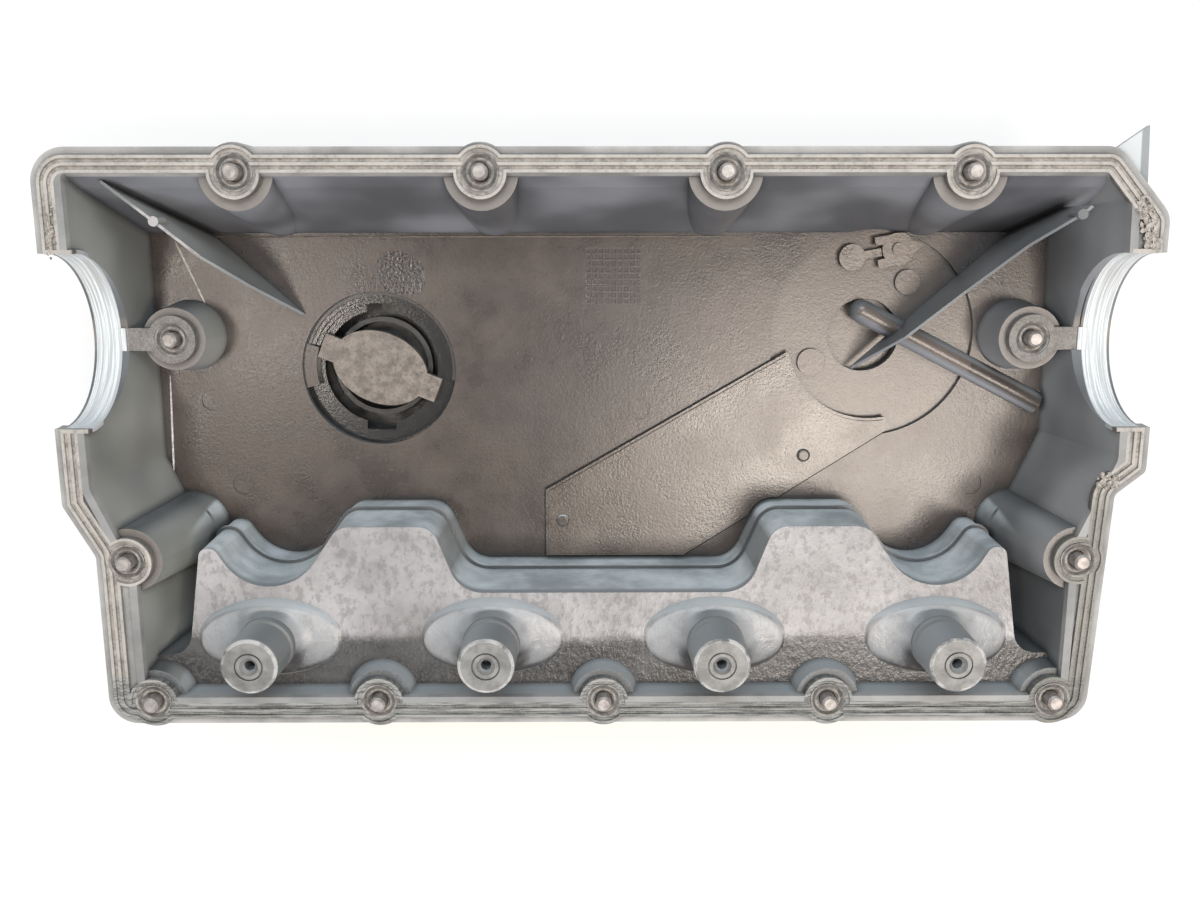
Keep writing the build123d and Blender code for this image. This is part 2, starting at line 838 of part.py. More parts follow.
    # oil channel sunk into the floor, its mouth at the disc, and the two stake pins
    with BuildSketch(Plane.XY.offset(-depth)):
        add(channel_outline(channel_inset))
        with Locations((breather_x, breather_y)):
            Circle(disc_radius + channel_inset, mode=Mode.SUBTRACT)
    extrude(amount=-channel_depth, mode=Mode.SUBTRACT)
    with BuildSketch(Plane.XY.offset(-depth)):
        add(channel_outline(channel_inset))
        with Locations((breather_x, breather_y)):
            Circle(disc_radius + channel_inset, mode=Mode.INTERSECT)
    extrude(amount=-disc_drop, mode=Mode.SUBTRACT)
    with BuildSketch(Plane.XY.offset(-depth)):
        add(channel_outline(-channel_groove_width))
        add(channel_outline(0), mode=Mode.SUBTRACT)
    extrude(amount=-channel_groove_depth, mode=Mode.SUBTRACT)
    with BuildSketch(Plane.XY.offset(channel_top)):
        with Locations(*stake_places):
            Circle(stake_radius)
    extrude(amount=-channel_cover_thickness - channel_depth)
    add(stake_heads.part)
    # shallow marks of the ejector pins
    with BuildSketch(Plane.XY.offset(-depth)):
        with Locations(*ejector_marks):
            Circle(ejector_mark_radius)
    extrude(amount=-ejector_mark_depth, mode=Mode.SUBTRACT)
    # thin triangular tab on the back right corner
    with BuildSketch(Plane.XY.offset(-tab_drop)):
        with BuildLine():
            Polyline(
                (end_x - back_chamfer_x, back_y - 1),
                (end_x - tab_tip_inset, back_y + tab_reach),
                (end_x - tab_foot_inset, back_y - tab_foot_drop),
                (end_x - back_chamfer_x, back_y - back_chamfer_y),
                close=True,
            )
        make_face()
        add(rim_outline(2 * wall), mode=Mode.SUBTRACT)
    extrude(amount=tab_thickness)
cover_shell.part.label = "cover_shell"
export_step(cover_shell.part, "parts/cover_shell.step")

# ---- rim gasket: strip, screw rings, arch bands, and the rings and straps of the inner screws ----
with BuildPart() as arch_bands:
    add(arch_band_bars())
    with BuildSketch():
        Rectangle(4 * end_x, 4 * end_x)
    extrude(amount=depth, mode=Mode.SUBTRACT)

with BuildPart() as rim_gasket:
    with BuildSketch(Plane.XY.offset(-gasket_base_drop)):
        add(gasket_plan(0))
    extrude(amount=gasket_base_drop - gasket_web_drop)
    with BuildSketch(Plane.XY.offset(-gasket_web_drop)):
        add(gasket_plan(0))
        add(gasket_plan(ridge_width), mode=Mode.SUBTRACT)
    extrude(amount=gasket_web_drop)
    with BuildSketch(Plane.XY.offset(-gasket_web_drop)):
        add(rim_outline(gasket_margin + (gasket_width - ridge_width) / 2))
        add(rim_outline(gasket_margin + (gasket_width + ridge_width) / 2), mode=Mode.SUBTRACT)
        with Locations(*rim_screws):
            Circle(ring_hole_radius, mode=Mode.SUBTRACT)
    extrude(amount=gasket_web_drop)
    add(arch_bands.part)
    add(arch_cylinder(arch_radius, end_rim_width + 2 * wall, -wall), mode=Mode.SUBTRACT)
    # rings of the two inner screws, with the straps that hold them to the arch bands
    add(straps(strap_thickness))
    for place in mid_screws:
        add(ring(place, ring_radius, 0, mid_seat_z, gasket_base_drop))
        add(ring(place, ring_hole_radius, 0, mid_seat_z, gasket_base_drop), mode=Mode.SUBTRACT)
    with BuildSketch(Plane.XY.offset(strap_top_z)):
        for side in (-1, 1):
            with Locations(*[(side * x, mid_screw_y) for x in strap_lips]):
                Rectangle(strap_lip_length, strap_width)
    extrude(amount=strap_lip_height)
rim_gasket.part.label = "rim_gasket"
export_step(rim_gasket.part, "parts/rim_gasket.step")

# ---- captive screws, each with its sleeve and rubber bush ----
screw_names = (
    [f"back_{i + 1}" for i in range(4)]
    + [f"front_{i + 1}" for i in range(5)]
    + ["left_side", "right_side", "left_inner", "right_inner"]
)
screw_seats = [(place, 0.0) for place in rim_screws] + [(place, mid_seat_z) for place in mid_screws]
for name, (place, seat_z) in zip(screw_names, screw_seats):
    shoulder_z = seat_z + screw_tip_rise - thread_length
    flange_z = seat_z - sleeve_drop - sleeve_length - running_gap - screw_travel
    with BuildPart() as captive_screw:
        with Locations((*place, seat_z + screw_tip_rise)):
            Cylinder(thread_radius, thread_length, align=(Align.CENTER, Align.CENTER, Align.MAX))
        chamfer(captive_screw.faces().sort_by(Axis.Z)[-1].edges(), thread_lead)
        with Locations((*place, shoulder_z)):
            Cylinder(neck_radius, shoulder_z - flange_z, align=(Align.CENTER, Align.CENTER, Align.MAX))
        with Locations((*place, flange_z)):
            Cylinder(
                head_flange_radius,
                head_flange_thickness,
                align=(Align.CENTER, Align.CENTER, Align.MAX),
            )
        with BuildSketch(Plane.XY.offset(flange_z - head_flange_thickness)):
            with Locations(place):
                RegularPolygon(hex_across_flats / 2, 6, major_radius=False)
        extrude(amount=-hex_height)
    captive_screw.part.label = f"captive_screw_{name}"
    export_step(captive_screw.part, f"parts/captive_screw_{name}.step")

    with BuildPart() as screw_sleeve:
        with Locations((*place, seat_z - sleeve_drop)):
            Cylinder(sleeve_radius, sleeve_length, align=(Align.CENTER, Align.CENTER, Align.MAX))
            Cylinder(
                sleeve_bore,
                sleeve_length,
                align=(Align.CENTER, Align.CENTER, Align.MAX),
                mode=Mode.SUBTRACT,
            )
        with Locations((*place, shoulder_z - running_gap)):
            Cylinder(sleeve_radius, sleeve_neck_length, align=(Align.CENTER, Align.CENTER, Align.MAX))
            Cylinder(
                neck_radius + neck_gap,
                sleeve_neck_length,
                align=(Align.CENTER, Align.CENTER, Align.MAX),
                mode=Mode.SUBTRACT,
            )
    screw_sleeve.part.label = f"screw_sleeve_{name}"
    export_step(screw_sleeve.part, f"parts/screw_sleeve_{name}.step")

    bush_length = well_top_drop - bush_drop
    screw_bush = ring(place, bush_radius, sleeve_radius, seat_z - bush_drop, bush_length)
    screw_bush.label = f"screw_bush_{name}"
    export_step(screw_bush, f"parts/screw_bush_{name}.step")

# ---- oil filler cap and its seal ----
filler_place = (filler_x, filler_y)
key_bottom = filler_shelf_z + key_gap
cap_head_top = filler_neck_end - cap_seal_thickness
with BuildPart() as oil_filler_cap:
    with BuildSketch(Plane.XY.offset(key_bottom)):
        add(key_outline(0, key_angle))
    extrude(amount=key_thickness)
    with BuildSketch(Plane.XY.offset(key_bottom)):
        with Locations(filler_place):
            Circle(cap_stem_radius)
    extrude(amount=cap_head_top - key_bottom)
    with BuildSketch(Plane.XY.offset(cap_head_top)):
        with Locations(filler_place):
            Circle(cap_skirt_radius)
            Circle(cap_skirt_radius - cap_skirt_wall, mode=Mode.SUBTRACT)
    extrude(amount=cap_skirt_height)
    with BuildSketch(Plane.XY.offset(cap_head_top)):
        with Locations(filler_place):
            Circle(cap_radius)
            with PolarLocations(cap_radius, cap_grips):
                Circle(cap_grip_radius, mode=Mode.SUBTRACT)
    extrude(amount=rest_z - cap_head_top)
oil_filler_cap.part.label = "oil_filler_cap"
export_step(oil_filler_cap.part, "parts/oil_filler_cap.step")

seal_outer = filler_recess_radius + filler_neck_wall - seal_margin
cap_seal = ring(filler_place, seal_outer, seal_outer - cap_seal_width, filler_neck_end, cap_seal_thickness)
cap_seal.label = "cap_seal"
export_step(cap_seal, "parts/cap_seal.step")

# ---- channel cover, staked to the floor ----
with BuildPart() as channel_cover:
    with BuildSketch(Plane.XY.offset(-depth)):
        add(channel_outline(0))
    extrude(amount=channel_cover_thickness - channel_edge_height)
    with BuildSketch(Plane.XY.offset(channel_top - channel_edge_height)):
        add(channel_outline(channel_edge_width))
    extrude(amount=channel_edge_height)
    with BuildSketch(Plane.XY.offset(channel_top)):
        with Locations(*stake_places):
            Circle(stake_radius + stake_gap)
    extrude(amount=-channel_cover_thickness, mode=Mode.SUBTRACT)
channel_cover.part.label = "channel_cover"
export_step(channel_cover.part, "parts/channel_cover.step")

# ---- reed valve: leaf, retainer and rivet ----
leaf_root = retainer_distance - retainer_radius - leaf_root_gap
with BuildPart() as reed_valve_leaf:
    with BuildSketch(leaf_plane.offset(leaf_z + seat_gap)):
        Circle(leaf_radius)
        with Locations((leaf_root / 2, 0)):
            Rectangle(leaf_root, leaf_neck_width)
    extrude(amount=leaf_thickness)
reed_valve_leaf.part.label = "reed_valve_leaf"
export_step(reed_valve_leaf.part, "parts/reed_valve_leaf.step")

with BuildPart() as reed_valve_retainer:
    with BuildSketch(leaf_plane.offset(leaf_z)):
        with Locations((retainer_distance, 0)):
            Circle(retainer_radius)
        with BuildLine():
            Polyline(
                (retainer_distance, retainer_radius),
                (retainer_distance + retainer_tip_reach, 0),
                (retainer_distance, -retainer_radius),
                close=True,
            )
        make_face()
        with Locations(
            (retainer_distance - retainer_arm_length, retainer_arm_offset),
            (retainer_distance - retainer_arm_length, -retainer_arm_offset),
        ):
            Rectangle(retainer_arm_length, retainer_arm_width, align=(Align.MIN, Align.CENTER))
        with Locations((retainer_distance, 0)):
            Circle(rivet_radius, mode=Mode.SUBTRACT)
    extrude(amount=retainer_thickness)
reed_valve_retainer.part.label = "reed_valve_retainer"
export_step(reed_valve_retainer.part, "parts/reed_valve_retainer.step")

with BuildPart() as reed_valve_rivet:
    with BuildSketch(leaf_plane.offset(leaf_z + retainer_thickness)):
        with Locations((retainer_distance, 0)):
            Circle(rivet_head_radius)
    extrude(amount=rivet_head_height)
    with BuildSketch(leaf_plane.offset(leaf_z + retainer_thickness)):
        with Locations((retainer_distance, 0)):
            Circle(rivet_radius)
    extrude(amount=-retainer_thickness - rivet_depth)
reed_valve_rivet.part.label = "reed_valve_rivet"
export_step(reed_valve_rivet.part, "parts/reed_valve_rivet.step")

# ---- crankcase breather: lid, diaphragm, plate and spring ----
breather_place = (breather_x, breather_y)
with BuildPart() as breather_lid:
    with BuildSketch(Plane.XY.offset(lid_top)):
        with Locations(breather_place):
            Circle(disc_radius + wall)
    extrude(amount=-lid_thickness)
    with BuildSketch(Plane.XY.offset(lid_top)):
        with Locations(breather_place):
            Circle(disc_radius)
            Circle(disc_radius - shoulder_width, mode=Mode.SUBTRACT)
    extrude(amount=lid_spigot_height)
breather_lid.part.label = "breather_lid"
export_step(breather_lid.part, "parts/breather_lid.step")

with BuildPart() as diaphragm:
    with BuildSketch(Plane.XY.offset(diaphragm_top)):
        with Locations(breather_place):
            Circle(disc_radius)
            Circle(diaphragm_plate_radius - diaphragm_overlap, mode=Mode.SUBTRACT)
    extrude(amount=-diaphragm_thickness)
diaphragm.part.label = "diaphragm"
export_step(diaphragm.part, "parts/diaphragm.step")

with BuildPart() as diaphragm_plate:
    with BuildSketch(Plane.XY.offset(plate_top)):
        with Locations(breather_place):
            Circle(diaphragm_plate_radius)
    extrude(amount=seat_gap - diaphragm_plate_thickness)
diaphragm_plate.part.label = "diaphragm_plate"
export_step(diaphragm_plate.part, "parts/diaphragm_plate.step")

spring_foot = plate_top + spring_wire_radius + seat_gap
spring_height = disc_floor_z - pocket_depth - pocket_floor - seat_gap - spring_wire_radius - spring_foot
with BuildPart() as valve_spring:
    with BuildLine():
        coil = Helix(
            spring_height / spring_turns,
            spring_height,
            spring_radius,
            center=(breather_x, breather_y, spring_foot),
        )
    with BuildSketch(Plane(origin=coil @ 0, z_dir=coil % 0)):
        Circle(spring_wire_radius)
    sweep(is_frenet=True)
valve_spring.part.label = "valve_spring"
export_step(valve_spring.part, "parts/valve_spring.step")
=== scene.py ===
import bpy
import bmesh
import math
import random
from mathutils import Matrix, Vector

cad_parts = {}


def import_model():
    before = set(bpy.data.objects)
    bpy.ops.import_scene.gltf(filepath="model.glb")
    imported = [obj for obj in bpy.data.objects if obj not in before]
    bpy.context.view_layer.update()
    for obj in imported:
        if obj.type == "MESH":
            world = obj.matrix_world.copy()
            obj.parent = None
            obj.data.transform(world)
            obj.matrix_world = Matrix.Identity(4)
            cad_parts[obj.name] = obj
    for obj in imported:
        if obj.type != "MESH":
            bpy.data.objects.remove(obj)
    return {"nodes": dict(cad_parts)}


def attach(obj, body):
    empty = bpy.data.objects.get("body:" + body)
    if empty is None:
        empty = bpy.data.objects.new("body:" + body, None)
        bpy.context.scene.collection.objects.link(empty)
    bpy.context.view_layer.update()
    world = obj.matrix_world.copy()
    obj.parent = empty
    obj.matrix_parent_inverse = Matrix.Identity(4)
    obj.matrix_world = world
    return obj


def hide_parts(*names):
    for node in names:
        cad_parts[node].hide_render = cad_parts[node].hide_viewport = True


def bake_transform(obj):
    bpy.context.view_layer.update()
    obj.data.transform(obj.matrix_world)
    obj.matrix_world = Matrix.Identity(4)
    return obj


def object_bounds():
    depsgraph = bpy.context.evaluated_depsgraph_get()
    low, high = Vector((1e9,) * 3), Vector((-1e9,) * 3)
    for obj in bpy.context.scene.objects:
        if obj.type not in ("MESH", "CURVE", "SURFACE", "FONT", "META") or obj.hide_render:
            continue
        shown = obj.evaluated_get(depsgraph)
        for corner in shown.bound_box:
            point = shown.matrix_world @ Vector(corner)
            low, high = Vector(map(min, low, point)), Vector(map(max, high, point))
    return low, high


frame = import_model()
cad_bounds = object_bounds()
nodes = frame["nodes"]
random.seed(7)


# ---------------------------------------------------------------- camera
CAMERA_PLACE = (-0.003035, 0.07596, 0.39517)
CAMERA_TURNS = (10.928, -0.109, 0.242)  # tilt, roll and pan in degrees
CAMERA_LENS = 32.31
CAMERA_SENSOR = 36


def camera():
    tilt, roll, pan = (math.radians(a) for a in CAMERA_TURNS)
    forward = Vector((0, -math.sin(tilt), -math.cos(tilt)))
    up = Vector((0, math.cos(tilt), -math.sin(tilt)))
    right = Vector((1, 0, 0))
    look = forward * math.cos(pan) + right * math.sin(pan)
    side = right * math.cos(pan) - forward * math.sin(pan)
    across = side * math.cos(roll) + up * math.sin(roll)
    upright = up * math.cos(roll) - side * math.sin(roll)
    data = bpy.data.cameras.new("camera")
    data.sensor_width = CAMERA_SENSOR
    data.lens = CAMERA_LENS
    data.clip_start = 0.01
    cam = bpy.data.objects.new("camera", data)
    turn = Matrix((across, upright, -look)).transposed().to_4x4()
    cam.matrix_world = Matrix.Translation(CAMERA_PLACE) @ turn
    bpy.context.scene.collection.objects.link(cam)
    bpy.context.scene.camera = cam


camera()


# ---------------------------------------------------------------- node helpers
class Nodes:
    """Short calls for building one material's node tree."""

    def __init__(self, name):
        self.mat = bpy.data.materials.new(name)
        self.mat.use_nodes = True
        self.tree = self.mat.node_tree
        self.shader = self.tree.nodes["Principled BSDF"]
        self.coords = self.tree.nodes.new("ShaderNodeTexCoord").outputs["Object"]
        self.normal = self.tree.nodes.new("ShaderNodeNewGeometry").outputs["Normal"]

    def put(self, socket, value):
        if isinstance(value, bpy.types.NodeSocket):
            self.tree.links.new(value, socket)
        elif isinstance(value, (tuple, list)) and socket.type == "RGBA" and len(value) == 3:
            socket.default_value = (*value, 1)
        else:
            socket.default_value = value

    def math(self, kind, a, b=0.0, clamp=False):
        node = self.tree.nodes.new("ShaderNodeMath")
        node.operation = kind
        node.use_clamp = clamp
        self.put(node.inputs[0], a)
        self.put(node.inputs[1], b)
        return node.outputs[0]

    def mul(self, *values):
        """All the values multiplied together."""
        total = values[0]
        for value in values[1:]:
            total = self.math("MULTIPLY", total, value)
        return total

    def add(self, a, b):
        """The sum, held between 0 and 1."""
        return self.math("ADD", a, b, True)

    def shift(self, a, b):
        """The sum as it is."""
        return self.math("ADD", a, b)

    def absolute(self, a):
        return self.math("ABSOLUTE", a)

    def off(self, value, centre):
        """How far value lies from centre, without sign."""
        return self.absolute(self.math("SUBTRACT", value, centre))

    def square(self, a):
        return self.math("MULTIPLY", a, a)

    def length(self, a, b):
        return self.math("SQRT", self.shift(self.square(a), self.square(b)))

    def flip(self, a):
        return self.math("SUBTRACT", 1.0, a, True)

    def sway(self, value, width):
        """A mask from 0 to 1 turned into a shift of half the width to either side."""
        return self.mul(self.math("SUBTRACT", value, 0.5), width)

    def axis(self, vector, index):
        node = self.tree.nodes.new("ShaderNodeSeparateXYZ")
        self.put(node.inputs[0], vector)
        return node.outputs[index]

    def ramp(self, value, low, high):
        """0 below low, 1 above high, smooth between."""
        node = self.tree.nodes.new("ShaderNodeMapRange")
        node.interpolation_type = "SMOOTHSTEP"
        self.put(node.inputs["Value"], value)
        node.inputs["From Min"].default_value = low
        node.inputs["From Max"].default_value = high
        return node.outputs["Result"]

    def above(self, value, step):
        """1 past the soft step (low, high)."""
        return self.ramp(value, *step)

    def below(self, value, step):
        """1 short of the soft step (low, high)."""
        return self.flip(self.ramp(value, *step))

    def between(self, value, lower, upper):
        """1 past the lower soft step and short of the upper one."""
        return self.mul(self.above(value, lower), self.below(value, upper))

    def noise(self, size, detail=4.0, rough=0.55, stretch=(1, 1, 1), offset=0.0):
        """Noise whose features are about that many metres across."""
        mapping = self.tree.nodes.new("ShaderNodeMapping")
        self.put(mapping.inputs["Vector"], self.coords)
        mapping.inputs["Scale"].default_value = tuple(s / size for s in stretch)
        mapping.inputs["Location"].default_value = (offset, offset * 0.7, offset * 1.3)
        node = self.tree.nodes.new("ShaderNodeTexNoise")
        self.put(node.inputs["Vector"], mapping.outputs[0])
        node.inputs["Scale"].default_value = 1.0
        node.inputs["Detail"].default_value = detail
        node.inputs["Roughness"].default_value = rough
        return node.outputs[0]

    def blend(self, factor, a, b, kind="FLOAT"):
        """Numbers, a where factor is 0 and b where it is 1."""
        node = self.tree.nodes.new("ShaderNodeMix")
        node.data_type = kind
        self.put(node.inputs["Factor"], factor)
        self.put(node.inputs["A"], a)
        self.put(node.inputs["B"], b)
        return node.outputs["Result"]

    def mix(self, factor, a, b):
        """Colours, a where factor is 0 and b where it is 1."""
        return self.blend(factor, a, b, "RGBA")

    def shade(self, value, colours, low=0.3, high=0.7):
        """The first colour where value is low, the second where it is high."""
        return self.mix(self.ramp(value, low, high), *colours)

    def near(self, centre, reach, soft=0.3):
        """1 within reach of the upright line through centre (x, y), 0 outside."""
        node = self.tree.nodes.new("ShaderNodeVectorMath")
        node.operation = "SUBTRACT"
        self.put(node.inputs[0], self.coords)
        node.inputs[1].default_value = (*centre, 0)
        flat = self.tree.nodes.new("ShaderNodeVectorMath")
        flat.operation = "MULTIPLY"
        self.put(flat.inputs[0], node.outputs[0])
        flat.inputs[1].default_value = (1, 1, 0)
        size = self.tree.nodes.new("ShaderNodeVectorMath")
        size.operation = "LENGTH"
        self.put(size.inputs[0], flat.outputs[0])
        return self.below(size.outputs["Value"], (reach * (1 - soft), reach * (1 + soft)))

    def crease(self, reach):
        """1 in narrow inner corners, 0 on open faces."""
        node = self.tree.nodes.new("ShaderNodeAmbientOcclusion")
        node.samples = 2
        node.inputs["Distance"].default_value = reach
        return self.below(node.outputs["AO"], (0.35, 0.85))

    def bump(self, height, depth, strength=1.0, under=None):
        node = self.tree.nodes.new("ShaderNodeBump")
        self.put(node.inputs["Strength"], strength)
        node.inputs["Distance"].default_value = depth
        self.put(node.inputs["Height"], height)
        if under is not None:
            self.put(node.inputs["Normal"], under)
        return node.outputs[0]

    def finish(self, color, roughness, normal=None, metallic=None, specular=0.5):
        self.put(self.shader.inputs["Base Color"], color)
        self.put(self.shader.inputs["Roughness"], roughness)
        if normal is not None:
            self.put(self.shader.inputs["Normal"], normal)
        if metallic is not None:
            self.put(self.shader.inputs["Metallic"], metallic)
        self.shader.inputs["Specular IOR Level"].default_value = specular
        return self.mat


def paint(node, mat):
    for held in nodes[node].material_slots:
        held.material = mat


def soften(node, width):
    """Small round edges on a CAD node, made by modifiers only."""
    piece = nodes[node]
    flat = piece.modifiers.new("flat_faces", "DECIMATE")
    flat.decimate_type = "DISSOLVE"
    flat.angle_limit = math.radians(0.6)
    edge = piece.modifiers.new("round_edges", "BEVEL")
    edge.width = width
    edge.segments = 2
    edge.limit_method = "ANGLE"
    edge.angle_limit = math.radians(32)
    edge.use_clamp_overlap = True
    edge.harden_normals = False


# ---------------------------------------------------------------- where things are on the shell
# A pair (low, high) is a soft step: the mask goes from 0 to 1 between the two, in metres.
FLOOR_TOP = (-0.0500, -0.0490)
SUNKEN_TOP = (-0.0600, -0.0592)
LEDGE_Z = ((-0.0185, -0.0175), (-0.0085, -0.0075))
LEDGE_BACK = (-0.034, -0.030)
LEDGE_END = (0.1655, 0.1670)
LEDGE_SIDE_TOP = (-0.0120, -0.0105)
LEDGE_FRONT = (-0.0810, -0.0745)
BENCH_BOTTOM = (-0.0190, -0.0150)
# Painted shadow: a dark line along the step in the ledge walls at this height.
STEP_LINE_Z = -0.0445
STEP_LINE_HALF = (0.0006, 0.0013)
FOOT_Z = ((-0.0190, -0.0180), (0.0155, 0.0165))
FOOT_EDGE = (0.93, 1.0)
FOOT_HALF_LENGTH = 0.0275
FOOT_HALF_WIDTH = 0.0142
POST_TOP = (0.0155, 0.0170)
POST_PITCH = 0.088
POST_Y = -0.0789
POST_RIM = (0.0092, 0.0099)
SHELF_Z = ((-0.0045, -0.004), (-0.0028, -0.0024))
INNER_SEAT_Z = ((-0.0385, -0.0380), (-0.0340, -0.0335))
INNER_SEAT_Y = (0.02, 0.022)
FRONT_SHELF_Y = (-0.085, -0.08)
RIM_Z = ((-0.0028, -0.0021), (-0.0004, 0.0004))
TAB_Z = ((-0.0072, -0.0068), (-0.0062, -0.0058))
TAB_X = (0.165, 0.166)
TAB_Y = (0.078, 0.079)
TAB_STRIP = (0.1985, 0.1990)
DISC_CENTRE = (0.1125, 0.038)
DISC_RADIUS = 0.0432
STAMP_CENTRE = (-0.0840, 0.0628)
STAMP_RADIUS = 0.0095
HATCH_CENTRE = (0.0045, 0.0620)
HATCH_HALF = (0.0108, 0.0118)
HATCH_TURNS = 2400.0  # radians of sine per metre

# Soft steps on the normal's parts, which run from -1 to 1.
FACING = (0.15, 0.75)
FACING_AWAY = (-0.75, -0.15)
LEVEL = (0.75, 0.97)
DEAD_LEVEL = (0.97, 0.99)
SLOPED = (0.2, 0.4)

# Pairs of colours: dark and pale.
WALL = ((0.070, 0.076, 0.080), (0.170, 0.180, 0.185))
# Painted light: paler tones for walls facing the front, and for the end walls facing in.
BACK_WALL_LIGHT = ((0.115, 0.119, 0.134), (0.31, 0.318, 0.352))
LEFT_WALL_LIGHT = ((0.20, 0.208, 0.198), (0.42, 0.428, 0.40))
RIGHT_WALL_LIGHT = ((0.15, 0.156, 0.16), (0.40, 0.406, 0.412))
# Painted light: a pale bluish sheen for the ledge walls that face the back.
LEDGE_SIDE_SHEEN = ((0.42, 0.465, 0.48), (0.88, 0.94, 0.96))
FLOOR = ((0.040, 0.029, 0.024), (0.088, 0.066, 0.054))
DISC = ((0.10, 0.078, 0.063), (0.16, 0.126, 0.103))
LEDGE = ((0.235, 0.225, 0.226), (0.385, 0.37, 0.372))
# Painted light: a paler bluish tone for the ledge's sloping faces.
BENCH_LIGHT = ((0.26, 0.28, 0.29), (0.42, 0.45, 0.465))
# Painted light and shade for the post feet and their upright sides.
FOOT_LIGHT = ((0.060, 0.057, 0.056), (0.36, 0.362, 0.365))
FOOT_SIDE_LIGHT = ((0.34, 0.365, 0.375), (0.20, 0.215, 0.22))
SHELF = ((0.13, 0.115, 0.104), (0.23, 0.205, 0.187))
# Painted shade for the front boss shelves, with pale bluish specks as painted glints.
FRONT_SHELF_SHADE = ((0.05, 0.053, 0.055), (0.24, 0.26, 0.27))
RIM = ((0.26, 0.256, 0.247), (0.46, 0.45, 0.437))
POST = ((0.13, 0.13, 0.125), (0.25, 0.245, 0.235))
TAB = ((0.56, 0.59, 0.60), (0.27, 0.29, 0.30))

# Single colours.
# Painted shadow along the step in the ledge walls.
STEP_LINE_SHADOW = (0.02, 0.021, 0.022)
FLOOR_SPECK = (0.02, 0.017, 0.015)
# Darker blotches on the floor across the middle.
FLOOR_BLOTCH = (0.035, 0.028, 0.026)
LEDGE_CRACK = (0.115, 0.108, 0.108)
# The ledge's darker front.
LEDGE_FRONT_DARK = (0.040, 0.039, 0.038)
LEDGE_SOOT = (0.012, 0.011, 0.011)
# Painted shade for sunken places off the disc.
RECESS_SHADE = (0.020, 0.019, 0.018)
FOOT_BACK_LIGHT = (0.25, 0.265, 0.275)
FOOT_DUST = (0.20, 0.19, 0.185)
POST_EDGE = (0.50, 0.50, 0.485)
# Painted shade in narrow inner corners.
CREASE_SHADE = (0.012, 0.012, 0.012)
STAMP_DARK = (0.045, 0.036, 0.031)
HATCH_DARK = (0.03, 0.025, 0.022)


